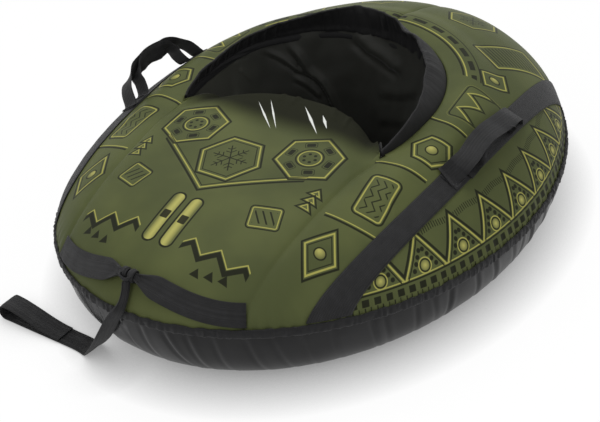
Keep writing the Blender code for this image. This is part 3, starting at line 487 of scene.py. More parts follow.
def placed(x, y, centre, turn=0.0):  # coordinates about a motif's own centre
    cosine, sine = cos(turn), sin(turn)
    dx, dy = x - centre[0], y - centre[1]
    if not turn:
        return dx, dy
    return dx * cosine + dy * sine, dy * cosine - dx * sine


def plate(x, y, halfX, halfY, ease=0.0):  # distance outside a rectangle with eased corners
    outX = (abs(x) - (halfX - ease)).most(0.0)
    outY = (abs(y) - (halfY - ease)).most(0.0)
    depth = (abs(x) - (halfX - ease)).most(abs(y) - (halfY - ease)).least(0.0)
    return hypotenuse(outX, outY) + depth - ease


def hexagon(x, y, radius):
    return (abs(x) * 0.8660254 + abs(y) * 0.5).most(abs(y)) - radius


def flatHexagon(x, y, radius):
    return hexagon(y, x, radius)


def diamond(x, y, halfX, halfY):
    scale = 1 / hypot(1 / halfX, 1 / halfY)
    return (abs(x) / halfX + abs(y) / halfY - 1.0) * scale


def stroke(distance, half, soft=0.0006):  # 1 on a line of that half width
    return 1.0 - abs(distance).step(half - soft, half + soft)


def inside(distance, soft=0.0004):
    return 1.0 - distance.step(-soft, soft)


print("helpers are ready")


# camera at the photograph's angle, set before the cords are made

view = {"focal": 83.03, "sensor": 36, "place": (1.3501, -1.7363, 1.5064),
        "ways": ((0.8104, 0.5791, -0.0891), (-0.2675, 0.5009, 0.8231), (0.5213, -0.6433, 0.5608))}
lens = bpy.data.cameras.new("view")
lens.lens = view["focal"]
lens.sensor_width = view["sensor"]
lens.clip_end = 50
camera = bpy.data.objects.new("view", lens)
bpy.context.scene.collection.objects.link(camera)
rightWay, upWay, backWay = (Vector(way).normalized() for way in view["ways"])
rightWay = (rightWay - backWay * rightWay.dot(backWay)).normalized()
upWay = backWay.cross(rightWay)
camera.matrix_world = Matrix((rightWay, upWay, backWay)).transposed().to_4x4()
camera.location = view["place"]
bpy.context.scene.camera = camera
print("camera is set")


# plain materials; the printed cloth follows further down

def weaveOf(along, over, pitch):
    return (along * (2 * pi / pitch)).maths("SINE") * (over * (2 * pi / pitch)).maths("SINE")


def clothPaint(name, base, sheen, rough, weave=0.0007, depth=0.00012, mottle=0.25, paintedBounce=None):
    made = Paint(name, Roughness=rough, Sheen_Weight=sheen, Specular_IOR_Level=0.18)
    point = made.objectPoint()
    cloud = made.grain(point, 18.0, 3.0)
    tone = made.blend(cloud.step(0.35, 0.7), base, colour(*(part * (1 + mottle) for part in base[:3])))
    if paintedBounce:  # painted light: the cloth pales toward the left of the well's mouth, standing in for light bounced from the olive cover
        across, ahead, _ = made.split(point)
        tone = made.blend((1.0 - ahead.step(-0.08, 0.15)) * (1.0 - across.step(-0.16, 0.12)), tone, paintedBounce)
    made.feed("Base Color", tone)
    made.bump(weaveOf(*made.cut(), weave), 0.12, depth)
    return made.material


def webbingPaint(name, base, light):
    made = Paint(name, Roughness=0.62, Sheen_Weight=0.06, Specular_IOR_Level=0.2)
    along, over = made.cut()
    rib = (over * (2 * pi / 0.0026)).maths("SINE")
    twill = ((along + abs(over.wrap(0.0104)) * 0.9) * (2 * pi / 0.0019)).maths("SINE")
    weave = rib * 0.5 + twill * 0.6
    cloud = made.grain(made.objectPoint(), 60.0, 2.0)
    made.feed("Base Color", made.blend((weave * 0.35 + cloud).step(0.25, 1.15), base, light))
    made.bump(weave, 0.7, 0.0004)
    return made.material


# the liner's second, paler olive colour is painted light bounced from the cover into the well
linerPaint = clothPaint("linerCloth", colour(0.013, 0.0134, 0.0108), 0.1, 0.5,
                        paintedBounce=colour(0.04, 0.041, 0.032))
hemPaint = clothPaint("hemCloth", colour(0.0042, 0.0042, 0.0044), 0.03, 0.65)
trimPaint = clothPaint("trimCloth", colour(0.006, 0.006, 0.0065), 0.1, 0.7, 0.0012, 0.0003)
webPaint = webbingPaint("webbing", colour(0.0045, 0.0045, 0.0048), colour(0.016, 0.016, 0.017))
coatPaint = Paint("coatedCloth", Roughness=0.34, Coat_Weight=0.14, Coat_Roughness=0.12, Specular_IOR_Level=0.13)
coatPoint = coatPaint.objectPoint()
coatCloud = coatPaint.grain(coatPoint, 9.0, 3.0)
coatPaint.feed("Base Color", coatPaint.blend(coatCloud.step(0.3, 0.7), colour(0.005, 0.005, 0.0053),
                                             colour(0.009, 0.009, 0.0095)))
coatPaint.bump(coatPaint.grain(coatPoint, 900.0, 2.0), 0.2, 0.0002)
threadPaint = Paint("thread", Base_Color=colour(0.03, 0.03, 0.032), Roughness=0.5).material
nickelPaint = Paint("nickel", Base_Color=colour(0.35, 0.35, 0.36), Metallic=1.0, Roughness=0.28).material
brassPaint = Paint("brass", Base_Color=colour(0.72, 0.53, 0.24), Metallic=1.0, Roughness=0.3).material
plasticPaint = Paint("plastic", Base_Color=colour(0.018, 0.018, 0.02), Roughness=0.4).material
rubberPaint = Paint("rubber", Base_Color=colour(0.02, 0.02, 0.021), Roughness=0.6).material

# tow strap: one flat cord from the knot to the ground and along it

strap = {
    "hanging": [(0.003, -0.5327, 0.1985), (0.0045, -0.537, 0.19), (0.006, -0.545, 0.1785),
                (0.005, -0.5535, 0.1665), (-0.001, -0.56, 0.154), (-0.015, -0.562, 0.134),
                (-0.033, -0.561, 0.106), (-0.056, -0.556, 0.074), (-0.083, -0.546, 0.042),
                (-0.106, -0.536, 0.018), (-0.1174, -0.5297, 0.0074)],
    "floor": [(-0.133, -0.525, 0.0026), (-0.155, -0.523, 0.0021), (-0.178, -0.5225, 0.0021),
              (-0.198, -0.5225, 0.0023)],
    "bunchWidth": 0.014, "bunchThickness": 0.0064, "width": 0.04, "thickness": 0.0028,
}
strapRoute = smoothRoute(strap["hanging"] + strap["floor"], 8)
strapLength = round(lengthsAlong(strapRoute)[-1], 3)
foldShare = 0.72


def strapOpen(u):
    return smoothStep(u / foldShare * 1.1 - 0.16)


def strapAcross(u):
    share = smoothStep(u / foldShare * 1.15 - 0.25)
    return Vector((mix(1, 0, share), mix(0.3, 1, share), 0)).normalized()


def strapWave(u, flatX):  # pleats fan out from the knot, a soft fold lies at the ground
    pleats = 0.0011 * cos(flatX * 9) * (1 - strapOpen(u))
    return pleats + 0.0007 * ripple(u * 9, flatX * 1.6, 4.0) * smoothStep(u * 4)


strapMesh = bandGrid(strapRoute, strapAcross, lambda u: mix(strap["bunchWidth"], strap["width"], strapOpen(u)),
                     lambda u: mix(strap["bunchThickness"], strap["thickness"], smoothStep(2.5 * u)), 150, 28,
                     wave=strapWave)
towStrap = newPiece("towStrap", strapMesh, webPaint, "tow_strap_upper", "tow_strap_lower", rides=None)

loop = {"length": 0.137, "height": 0.03, "thickness": 0.0026, "y": -0.5225, "x": -0.1975}
loopRadius = loop["height"] / 2
loopBend = loop["length"] - loopRadius
loopPoints = [(loop["x"] - mix(-0.006, loopBend, share), loop["y"], 0.0016) for share in shares(9)]
for share in shares(8)[1:-1]:
    turn = pi * share
    loopPoints.append((loop["x"] - loopBend - (loopRadius - 0.0013) * sin(turn), loop["y"],
                       loopRadius - (loopRadius - 0.0013) * cos(turn)))
for share in shares(9)[::-1]:
    lift = 0.005 + (loop["height"] - 0.0063) * smoothStep(share)
    loopPoints.append((loop["x"] - mix(-0.008, loopBend, share), loop["y"], lift))
loopMesh = bandGrid(smoothRoute(loopPoints, 4), Vector((0, 1, 0)), strap["width"], loop["thickness"], 150,
                    wave=lambda u, flatX: 0.0005 * ripple(u * 12, flatX * 1.5, 9.0) * smoothStep(4 * u))
handLoop = newPiece("handLoop", loopMesh, webPaint, "hand_loop", rides="strap_lower")
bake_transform(towStrap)
print("tow strap is laid,", strapLength, "m")

# top panels

rimSteps = 1440
rimLengths = lengthsAlong([hub + ray(turn) * rimRadius(turn) for turn in turns(rimSteps)])
perimeter = rimLengths[-1]


def rimArc(angle):  # distance round the seam from the middle of the front, negative on the left
    place = abs(signedAngle(angle)) / (2 * pi) * rimSteps
    here = min(int(place), rimSteps - 1)
    return copysign(mix(rimLengths[here], rimLengths[here + 1], place - here), signedAngle(angle))


def puckers(arc, distance):  # small gathers where the cloth is sewn to the binding
    fade = bell(distance, 0.034)
    if fade < 0.01:
        return 0.0
    folds = sin(arc * 2 * pi / 0.021 + 5 * ripple(arc * 7, 0, 2.0))
    return fade * (0.0011 * folds + 0.0016 * ripple(arc * 34, distance * 9, 3.0))


def seamDip(distance):  # the cloth draws in at a seam
    return -0.0022 * bell(distance, 0.0055) - 0.0012 * bell(distance, 0.016)


def longSeamDistance(point):
    if point.y > corner.y + 0.01:
        return 1.0
    return abs(abs(point.x) - deckEdge(point.y)) * 0.97


def softened(point, arc, fromRim):  # the cloth's own small forms, added along its normal
    normal = topNormal(point.x, point.y)
    lift = puckers(arc, fromRim) + seamDip(longSeamDistance(point))
    lift += 0.0012 * ripple(point.x * 9, point.y * 9, 5.0)
    if point.y > 0.2:
        lift += seamDip(abs(point.x))
    return point + normal * lift


deckCloth = {"columns": 260, "lipRows": 34, "rows": 96}


def lipFolds(turn, share):  # wrinkles that run along the lip and short creases over it
    x = corner.x * turn / cornerAngle
    lines = 0.0
    for index, (level, sway) in enumerate(((0.62, 0.05), (0.7, 0.04), (0.8, 0.05), (0.9, 0.03))):
        centre = level + sway * sin(x * 24 + index * 1.7)
        lines += 0.0016 * bell(share - centre, 0.022) * smoothStep(1.4 - abs(x + 0.02) / 0.09)
    creases = 0.0
    for start, lean, width in ((-0.052, 0.055, 0.004), (-0.026, 0.05, 0.0035), (0.046, 0.062, 0.005),
                               (0.085, 0.03, 0.004)):
        creases += 0.0022 * bell(x - start - lean * (0.45 - share), width) * bell(share - 0.3, 0.42)
    return lines + creases


def deckColumn(u):
    turn = mix(-cornerAngle, cornerAngle, u) * 0.9985
    edge, end, roll = edgePoint(turn), deckEnd(turn), max(lipRoll(turn), 0.0001)
    begin = edge + (end - edge).normalized() * lipReach(turn)
    beginHeight = topHeight(begin.x, begin.y)
    low = seatPlane(edge.y) - lipDrop(turn)
    atRim = abs(turn) <= frontAngle
    points = []
    for step in shares(deckCloth["lipRows"])[:-1]:
        share = 1 - step
        part = roll * share
        point = begin.lerp(edge, sin(part) / sin(roll))
        point.z = mix(beginHeight, low, (1 - cos(part)) / (1 - cos(roll)))
        tilt = (up * cos(part) + edgeInward(turn) * sin(part)).normalized()
        folded = lipFolds(turn, share) * smoothStep(roll * 1.4)
        points.append(point + tilt * (folded + 0.0012 * ripple(point.x * 9, point.y * 9, 5.0)))
    for step in shares(deckCloth["rows"]):
        point = begin.lerp(end, sin(pi / 2 * step))
        point.z = seamHeight(point.y) + 0.001 if atRim and step == 1 else topHeight(point.x, point.y)
        fromRim = (end - point).length + max(point.z - seamHeight(end.y), 0) * 0.8 if atRim else 1.0
        points.append(softened(point, rimArc(turn), fromRim))
    return measured(rimArc(turn), points, fromEnd=True)


printed = Paint("printedClothWithPaintedLight", Roughness=0.5, Specular_IOR_Level=0.06)
newPiece("deckPanel", clothGrid(deckCloth["columns"], deckColumn), printed.material, "top_panel_front",
         thickness=coverThickness)

sideCloth = {"columns": 420, "rows": 76}
for side, name, node in ((-1, "leftPanel", "top_panel_left"), (1, "rightPanel", "top_panel_right")):
    def sideColumn(u):
        turn = mix(frontAngle + 0.004, pi, u)
        inner = deckRadius(turn, -0.001) if turn < cornerAngle else seatRadius(turn) + 0.0002
        outer = rimRadius(turn)
        points = []
        for step in shares(sideCloth["rows"]):
            share = sin(pi / 2 * step)
            point = hub + ray(turn) * mix(inner, outer, share)
            point.z = seamHeight(point.y) + 0.001 if step == 1 else topHeight(point.x, point.y)
            fromRim = (outer - inner) * (1 - share) + max(point.z - seamHeight(point.y), 0) * 0.8
            point.x = side * max(point.x, 0.0002)
            points.append(softened(point, side * rimArc(turn), fromRim))
        return measured(side * rimArc(turn), points, fromEnd=True)

    newPiece(name, clothGrid(sideCloth["columns"], sideColumn, flip=side < 0), printed.material, node,
             thickness=coverThickness)
print("top panels are sewn")

# black bowl under the seam, with gathers that run down from it

bowl = {"columns": 1150, "rows": 26, "flatRows": 6, "gathers": 66}
gathers = []
for index in range(bowl["gathers"]):
    place = (index + 0.5 + 0.62 * ripple(index * 1.7, 0.3, 7.0)) / bowl["gathers"] * perimeter
    lean = 0.05 * ripple(index * 2.3, 1.1, 8.0) + 0.018
    gathers.append((place, lean, 0.55 + abs(ripple(index * 3.1, 2.2, 6.0)) * 1.6))


def gatherDepth(arc, down):
    total = 0.0
    spacing = perimeter / bowl["gathers"]
    first = int(arc / spacing) - 2
    for index in range(first, first + 5):
        place, lean, strength = gathers[index % bowl["gathers"]]
        place += perimeter * (index // bowl["gathers"])
        away = arc - place - lean * down
        total += strength * (-0.0021 * bell(away, 0.0042) + 0.0013 * bell(away - 0.0085, 0.0065))
    soft = 0.0018 * ripple(arc * 22, down * 1.4, 11.0)
    return (total + soft) * (1 - smoothStep(down * 1.3 - 0.42) * 0.8)


def bowlColumn(u):
    angle = 2 * pi * u
    rim, out = rimAt(angle)
    arc = rimArc(angle) % perimeter
    points = []
    for row in range(bowl["rows"] + 1):
        down = sin(pi / 2 * row / bowl["rows"])
        share = mix(body["undersideShare"], 1, (1 - down ** body["undersidePower"]) ** (1 / body["undersidePower"]))
        point = Vector((rim.x * share, rim.y * share, (rim.z - 0.001) * (1 - down)))
        fold = gatherDepth(arc, down) * smoothStep(row / 3) * smoothStep((bowl["rows"] - row) / 5)
        points.append(point + out * fold)
    for step in shares(bowl["flatRows"])[1:]:
        share = body["undersideShare"] * (1 - step)
        points.append(Vector((rim.x * share, rim.y * share, 0.0004)))
    return measured(arc, points)


newPiece("bottomCloth", clothGrid(bowl["columns"], bowlColumn, joined=True, flip=True), coatPaint.material,
         "bottom_cover", thickness=coverThickness)

# gathered binding over the seam

trim = {"columns": 1300, "halfHeight": 0.0082, "depth": 0.0054, "around": 14}


def trimColumn(u):
    angle = 2 * pi * u
    rim, out = rimAt(angle)
    ringX, ringY = cos(angle), sin(angle)
    ruffle = ripple(ringX * 38, ringY * 38, 1.0)
    fine = ripple(ringX * 95, ringY * 95, 2.0)
    points = []
    for turn in turns(trim["around"]):
        level, reach = sin(turn), cos(turn)
        height = trim["halfHeight"] * copysign(abs(level) ** 0.7, level) * (1 + 0.16 * fine + 0.12 * ruffle)
        depth = trim["depth"] * (0.5 + 0.5 * copysign(abs(reach) ** 0.5, reach))
        pleat = ripple(ringX * 120, ringY * 120, level * 1.2)
        depth += (0.0017 * fine + 0.0013 * pleat) * max(reach + 0.4, 0) + 0.0008
        points.append(rim + out * depth + up * (height + 0.0016 * ruffle * abs(level)))
    return measured(rimArc(angle) % perimeter, points)


newPiece("binding", clothGrid(trim["columns"], trimColumn, joined=True, outward=True), trimPaint, "edge_binding")
print("bottom and binding are sewn")

# liner of the seat well, wall and floor in one

liner = {"columns": 400, "rows": 70, "floorRows": 14, "floorHeight": 0.0044, "thickness": 0.0012}
folds = [  # points (angle in degrees, depth under the seat's edge), height and width of each fold
    ([(231, 0.026), (227, 0.054), (223, 0.086), (216, 0.115), (212, 0.142), (207, 0.19), (204, 0.24)], 0.0075, 0.0085),
    ([(244, 0.024), (235, 0.053), (229, 0.078), (222, 0.098), (218, 0.107)], 0.0045, 0.0055),
    ([(275, -0.005), (264, 0.001), (254, 0.008), (246, 0.014)], 0.003, 0.004),
    ([(284, 0.004), (275, 0.006), (267, 0.009), (258, 0.014), (250, 0.018)], 0.0035, 0.004),
    ([(231, 0.094), (224, 0.114), (219, 0.135), (216, 0.147)], 0.004, 0.006),
    ([(259, 0.036), (256, 0.056), (254, 0.074)], 0.002, 0.005),
    ([(198, 0.022), (189, 0.051), (176, 0.073), (167, 0.077)], 0.006, 0.016),
    ([(183, 0.135), (168, 0.124), (150, 0.094)], 0.0028, 0.014),
    ([(182, 0.19), (167, 0.178), (150, 0.15)], 0.0025, 0.015),
    ([(96, 0.03), (88, 0.052), (80, 0.064)], 0.005, 0.01),
    ([(104, 0.058), (94, 0.078), (84, 0.084)], 0.004, 0.01),
    ([(262, 0.06), (268, 0.1), (272, 0.15), (276, 0.2)], 0.003, 0.02),
]
foldLines = [([(radians(angle) * seat["radius"], depth) for angle, depth in line], height, width)
             for line, height, width in folds]


def foldLift(angle, depth):
    across = angle * seat["radius"]
    total = 0.0
    for line, height, width in foldLines:
        best, share = None, 0.0
        for index, ((ax, ay), (bx, by)) in enumerate(zip(line, line[1:])):
            wayX, wayY = bx - ax, by - ay
            size = hypot(wayX, wayY)
            along = clamp(((across - ax) * wayX + (depth - ay) * wayY) / size ** 2)
            gapX, gapY = across - ax - wayX * along, depth - ay - wayY * along
            gap = hypot(gapX, gapY)
            if best is None or gap < abs(best):
                best = copysign(gap, wayX * gapY - wayY * gapX)
                share = (index + along) / (len(line) - 1)
        if abs(best) < width * 4:
            taper = smoothStep(share * 5 + 0.1) * smoothStep((1 - share) * 4 + 0.1)
            total += taper * height * (bell(best - width * 0.6, width) - 0.8 * bell(best + width * 0.55, width * 0.55))
    return total


def linerColumn(u):
    angle = 2 * pi * u
    edge = edgePoint(angle)
    inward = edgeInward(angle)
    top = seatPlane(edge.y) - lipDrop(angle) - 0.0012
    front = smoothStep((abs(signedAngle(angle)) - cornerAngle) / 0.2 + 0.5)
    points = []
    for row in range(liner["rows"] + 1):
        height = mix(top, liner["floorHeight"] + 0.003, row / liner["rows"])
        depth = seatPlane(edge.y) - height
        inset = mix(0.003, 0.0008, front) + wellInset(height, angle)
        soft = 0.004 * ripple(cos(angle) * 2.4, sin(angle) * 2.4 + depth * 7, 14.0)
        soft += 0.0012 * ripple(angle * 9, depth * 28, 15.0)
        fade = smoothStep(row / 6) * smoothStep((liner["rows"] - row) / 6 + 0.2)
        if angle > 1:
            soft += foldLift(angle, depth)
        points.append(Vector((edge.x, edge.y, height)) + inward * (inset + max(soft * fade + 0.0022, -0.0002)))
    foot = points[-1]
    for share in shares(liner["floorRows"])[1:]:
        point = foot.lerp(hub, share)
        point.z = liner["floorHeight"] + 0.003 * (1 - share) ** 6
        point.z += 0.0012 * abs(ripple(point.x * 14, point.y * 14, 16.0))
        points.append(point)
    return measured(angle * seat["radius"], points)


newPiece("seatLiner", clothGrid(liner["columns"], linerColumn, joined=True), linerPaint, "seat_wall", "seat_floor",
         thickness=liner["thickness"])

# hem band that stands round the seat

collar = {
    "columns": 620, "outerRows": 12, "foldRows": 7, "innerRows": 26, "gap": 0.0045, "thickness": 0.001,
    "top": [(60, 0.008, 0.001), (70, 0.022, 0.002), (78, 0.031, 0.003), (89, 0.035, 0.0115), (98.7, 0.036, 0.022),
            (111, 0.036, 0.031), (124.5, 0.036, 0.031), (136.8, 0.036, 0.031), (145, 0.037, 0.028), (149, 0.037, 0.025),
            (159, 0.038, 0.028), (166, 0.037, 0.017), (172, 0.037, 0.008), (186, 0.039, -0.002), (193.6, 0.042, -0.005),
            (198, 0.04, -0.001), (208.5, 0.038, 0.009), (216.6, 0.037, 0.017), (230, 0.036, 0.022), (250, 0.034, 0.021),
            (270, 0.03, 0.017), (284, 0.024, 0.009), (300, 0.008, 0.002)],
    "stitch": [(60, 0.012), (90, 0.03), (120, 0.042), (151, 0.042), (163, 0.031), (175, 0.023), (190, 0.022),
               (203, 0.015), (218, 0.012), (230, 0.01), (245, 0.004), (264, 0.003), (300, 0.003)],
}
seatTurn = Matrix.Rotation(seat["tilt"], 3, "X")


def seatPlace(angle, out, rise):
    spot = hub + ray(angle) * seatRadius(angle) - edgeInward(angle) * out
    spot.z = seatPlane(spot.y)
    return spot + seatTurn @ up * rise


def collarColumn(u):  # up the outer ply, over the fold and down inside
    angle = mix(cornerAngle + 0.02, 2 * pi - cornerAngle - 0.02, u)
    height, lean = tableAt(collar["top"], degrees(angle))
    stitch = tableAt(collar["stitch"], degrees(angle))[0]
    height += 0.0016 * ripple(angle * 11, 0, 21.0) + 0.0008 * ripple(angle * 40, 0, 22.0)
    kink = 0.0035 * ripple(angle * 5.5, 3.0, 23.0)
    gap = collar["gap"]
    path = []

    def standing(rise):
        return -0.0006 - (lean + kink * clamp(rise / height)) * clamp(rise / height) ** 1.5

    for share in shares(collar["outerRows"])[:-1]:
        rise = mix(-0.003, height - gap / 2, share)
        path.append((standing(rise), rise))
    for share in shares(collar["foldRows"]):
        path.append((standing(height) + gap / 2 * (cos(pi * share) - 1), height + gap / 2 * (sin(pi * share) - 1)))
    plane = seatPlane(edgePoint(angle).y)
    for share in shares(collar["innerRows"])[1:]:
        rise = mix(height - gap / 2, -stitch - 0.012, share)
        under = wellInset(plane + min(rise, 0), angle)
        path.append((mix(standing(max(rise, 0)) - gap, -0.0052 - under, smoothStep((0.004 - rise) / 0.012)), rise))
    points, measures = [], []
    for index, (out, rise) in enumerate(path):
        above = rise + stitch
        inner = smoothStep((index - collar["outerRows"]) / 8)
        wrinkle = 1.5 * ripple(angle * 10, 1.0, 24.0) + 0.8 * ripple(angle * 19, rise * 9, 26.0)
        push = 0.0042 * wrinkle * smoothStep((height - rise) / 0.014) + 0.0016 * ripple(angle * 9, rise * 30, 25.0)
        if inner:
            crease = max(foldLift(angle, -rise), 0) * 0.5 * smoothStep(0.5 - above / 0.006)
            push = inner * (0.0014 * bell(above, 0.0035) - abs(push) * smoothStep(above / 0.006) - crease)
        else:
            push *= 0.35 * clamp(rise / height)
        points.append(seatPlace(angle, out + push, rise))
        measures.append((angle * seat["radius"], above))
    return points, measures


newPiece("seatHem", clothGrid(collar["columns"], collarColumn), hemPaint, "seat_collar", "collar_elastic",
         thickness=collar["thickness"])
print("seat well is lined")


# webbing: side straps, handles with their sewn feet, bridle and knot

web = {"width": 0.04, "thickness": 0.0015, "strapInset": 0.092, "strapBow": 0.078, "planWidth": 0.035,
       "lift": 0.0026, "stop": 0.0088}


def strapX(y):
    return halfWidth - web["strapInset"] - web["strapBow"] * (y / halfLength) ** 2


def strapEnds(shift):
    def past(y):
        x = strapX(y) + shift
        return 1 if planShare(x, y) > 1 else seamHeight(y) + web["stop"] - topHeight(x, y)

    return -crossing(0, halfLength, lambda y: past(-y)), crossing(0, halfLength, past)


strapShifts = [mix(-0.5, 0.5, share) * web["planWidth"] for share in shares(10)]
strapSpans = [strapEnds(shift) for shift in strapShifts]
for side, name, node in ((-1, "leftStrap", "side_strap_left"), (1, "rightStrap", "side_strap_right")):
    def strapColumn(u):
        points = []
        for shift, (front, rear) in zip(strapShifts, strapSpans):
            y = mix(front, rear, (1 - cos(pi * u)) / 2)
            lift = web["lift"] + web["thickness"] + 0.0005 * ripple(y * 30, shift * 40, 31.0 + side)
            point = topPoint(strapX(y) + shift, y, lift)
            points.append(Vector((side * point.x, point.y, point.z)))
        y = mix(*strapSpans[5], (1 - cos(pi * u)) / 2)
        return points, [(y * 1.12, shift * web["width"] / web["planWidth"]) for shift in strapShifts]

    newPiece(name, clothGrid(320, strapColumn, flip=side > 0), webPaint, node, thickness=web["thickness"])


def strapFrame(side, y, lift):  # a point over the side strap, with the directions along, across and up there
    x = strapX(y)
    normal = topNormal(x, y)
    point = topPoint(x, y, lift)
    along = (topPoint(strapX(y + 0.001), y + 0.001, lift) - point).normalized()
    flip = Vector((side, 1, 1))
    return [Vector(a * b for a, b in zip(way, flip)) for way in (point, along, along.cross(normal), normal)]


def addStitches(meshTool, path, normal, length=0.003, gap=0.0012, radius=0.00045):
    for start, end in zip(path, path[1:]):
        way = end - start
        count = max(int(way.length / (length + gap)), 1)
        for index in range(count):
            centre = start + way * ((index + 0.5) / count)
            side = way.normalized().cross(normal)
            turn = Matrix((way.normalized() * length / 2, side * radius, normal * radius)).transposed().to_4x4()
            bmesh.ops.create_icosphere(meshTool, subdivisions=2, radius=1,
                                       matrix=Matrix.Translation(centre) @ turn)


handles = {
    "right": {"side": 1, "feet": (-0.066, 0.142), "rise": 0.03, "turn": radians(-14), "leg": 0.1,
              "inward": 0.011, "split": 0.01, "reach": 0.013},
    "left": {"side": -1, "feet": (-0.123, 0.072), "rise": 0.052, "turn": radians(56), "leg": 0.22,
             "inward": 0.0, "split": 0.0, "reach": 0.028},
}
ply = {"Outer": 0.0395, "Inner": 0.037, "thickness": 0.0018, "apart": 0.0027}  # widths of the two layers
pad = {"width": 0.0365, "thickness": 0.0017, "half": 0.019, "stitchAlong": 0.0155, "stitchAcross": 0.015}
footLift = web["lift"] + web["thickness"] + 0.001
axisLift = footLift + web["thickness"] + 0.0033
stitchMesh = bmesh.new()
for name, handle in handles.items():
    side = handle["side"]
    front, rear = (strapFrame(side, y, axisLift)[0] for y in handle["feet"])
    normal = strapFrame(side, sum(handle["feet"]) / 2, 0)[3]
    along = (rear - front).normalized()
    normal = (normal - along * normal.dot(along)).normalized()
    lateral = along.cross(normal) * side

    def archPoint(share, under=0.0):
        turn = acos(1 - 2 * share)
        height = handle["rise"] * sin(turn) ** 0.8
        sway = 0.0022 * sin(share * 9.0 + 1.0) - handle["inward"] * sin(turn)
        return front.lerp(rear, share) + normal * (height - under + 0.0014 * sin(share * 17)) + lateral * sway

    def tail(y, lift):
        return strapFrame(side, y, footLift + web["thickness"] + lift)[0]

    def riser(y, way):  # the inner ply leaves the strap
        return [tail(y - way * 0.02, 0.0004), tail(y - way * 0.006, 0.001)] + [
            strapFrame(side, y + way * step, axisLift + handle["rise"] * share)[0]
            for step, share in ((0.002, 0.3), (0.004, 0.6))]

    def archAcross(u):
        roll = handle["turn"] * smoothStep((min(u, 1 - u) - handle["leg"]) * 6)
        twist = 0.12 * sin(u * 11 + side) * smoothStep(min(u, 1 - u) * 6)
        return lateral * cos(roll + twist) - normal * sin(roll + twist)

    low, high = handle["feet"]
    outer = [tail(low - 0.017, 0.0004), tail(low - 0.007, 0.0008)]
    outer += [archPoint(share) for share in (0.012, 0.04, 0.09, 0.16, 0.24, 0.34, 0.44, 0.54, 0.64, 0.74, 0.83, 0.91,
                                             0.96, 0.988)]
    outer += [tail(high + 0.007, 0.0008), tail(high + 0.017, 0.0004)]
    legs = 0.2 * (high - low)
    inner = riser(low + legs, 1)
    inner += [archPoint(share, ply["apart"]) for share in (0.28, 0.36, 0.44, 0.52, 0.6, 0.68, 0.74)]
    inner += riser(high - legs, -1)[::-1]
    for step in range(5):  # the two plies part sideways at the front foot
        outer[step] = outer[step] - lateral * handle["split"] * (1 - step / 5)
        inner[step] = inner[step] + lateral * handle["split"] * 0.5 * (1 - step / 5)
    for layer, points, nodes in (("Outer", outer, ["handle_" + name]), ("Inner", inner, [])):
        mesh = bandGrid(smoothRoute(points, 8), archAcross, ply[layer], ply["thickness"], 190,
                        wave=lambda u, flatX: 0.0005 * ripple(u * 14, flatX * 1.4, 33.0 + side))
        piece = newPiece(name + "Handle" + layer, mesh, webPaint, *nodes, rides=None)
        "handle_" + name
        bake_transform(piece)
    for place, y in (("front", low), ("rear", high)):
        frames = [strapFrame(side, y + pad["half"] * share, footLift) for share in (-1, -0.5, 0, 0.5, 1)]
        foot = bandGrid(smoothRoute([frame[0] for frame in frames], 3), frames[2][2], pad["width"], pad["thickness"],
                        24)
        newPiece(name + place.capitalize() + "Foot", foot, webPaint, "handle_foot_" + name + "_" + place)
        centre, ahead, sideways, over = strapFrame(side, y, footLift + 0.0013)
        corners = [centre + ahead * a * pad["stitchAlong"] + sideways * b * pad["stitchAcross"]
                   for a, b in ((-1, -1), (1, -1), (1, 1), (-1, 1))]
        addStitches(stitchMesh, corners + [corners[0], corners[2]], over)
        addStitches(stitchMesh, [corners[1], corners[3]], over)
newPiece("footStitches", stitchMesh, threadPaint)

tie = {"endRise": 0.027, "midRise": 0.049, "bunch": 0.0112, "hitch": 0.0122}


def bridleY(x):
    rise = mix(tie["midRise"], tie["endRise"], smoothStep(abs(x) / deckEdge(-halfLength)))
    rimY = -halfLength * sqrt(1 - (x / halfWidth) ** 2)
    return rimY * crossing(body["undersideShare"], 1,
                           lambda share: seamHeight(rimY) + rise - topHeight(x, rimY * share))


def bridleCentre(x):
    share = smoothStep(1.6 * abs(x) / deck["halfWidth"] - 0.05)
    return topPoint(x, bridleY(x), mix(tie["hitch"], web["thickness"] / 2 + 0.001, share))


bridleEnd = deckEdge(-halfLength * body["undersideShare"]) - 0.0012
bridleXs = [bridleEnd * sin(pi / 2 * step / 40) for step in range(-40, 41)]
bridleRoute = [bridleCentre(x) for x in bridleXs]
bridleUps = [topNormal(x, bridleY(x)) for x in bridleXs]
bridleTable = [(step / 80, x) for step, x in enumerate(bridleXs)]


def bridleOpen(u):
    x = tableAt(bridleTable, u)[0]
    return smoothStep((abs(x + 0.002) - 0.007) / (0.046 if x < 0 else 0.05))


def bridleAcross(u):
    here = min(int(u * 80 + 0.5), 80)
    return bridleUps[here].cross(bridleRoute[min(here + 1, 80)] - bridleRoute[max(here - 1, 0)])


def bridleWave(u, flatX):
    part = bridleOpen(u)
    pleats = 0.0026 * cos(flatX * 7.5 + 0.6) * (1 - part) * smoothStep(part * 5)
    return pleats + 0.0009 * ripple(u * 16, flatX * 1.3, 41.0) * part


bridleMesh = bandGrid(bridleRoute, bridleAcross, lambda u: mix(tie["bunch"], web["width"], bridleOpen(u)),
                      lambda u: mix(0.0098, 0.0017, smoothStep(bridleOpen(u) * 1.6)), 260, 30, wave=bridleWave)
newPiece("bridle.webbing", bridleMesh, webPaint, "bridle")

knot = {"radius": 0.0092, "halfThickness": 0.0026, "pleats": 5, "pleatShare": 0.16, "sway": 0.0012, "columns": 64,
        "around": 24, "barEnd": 0.005, "barMiddle": 0.0125, "barThickness": 0.0032,
        "bar": [(-0.009, -0.004, 0.0062), (-0.01, -0.0095, 0.0035), (-0.0055, -0.0125, 0.0005),
                (0.0035, -0.013, -0.001), (0.0095, -0.01, 0.002), (0.0095, -0.004, 0.0062)]}
knotCentre = bridleCentre(0)


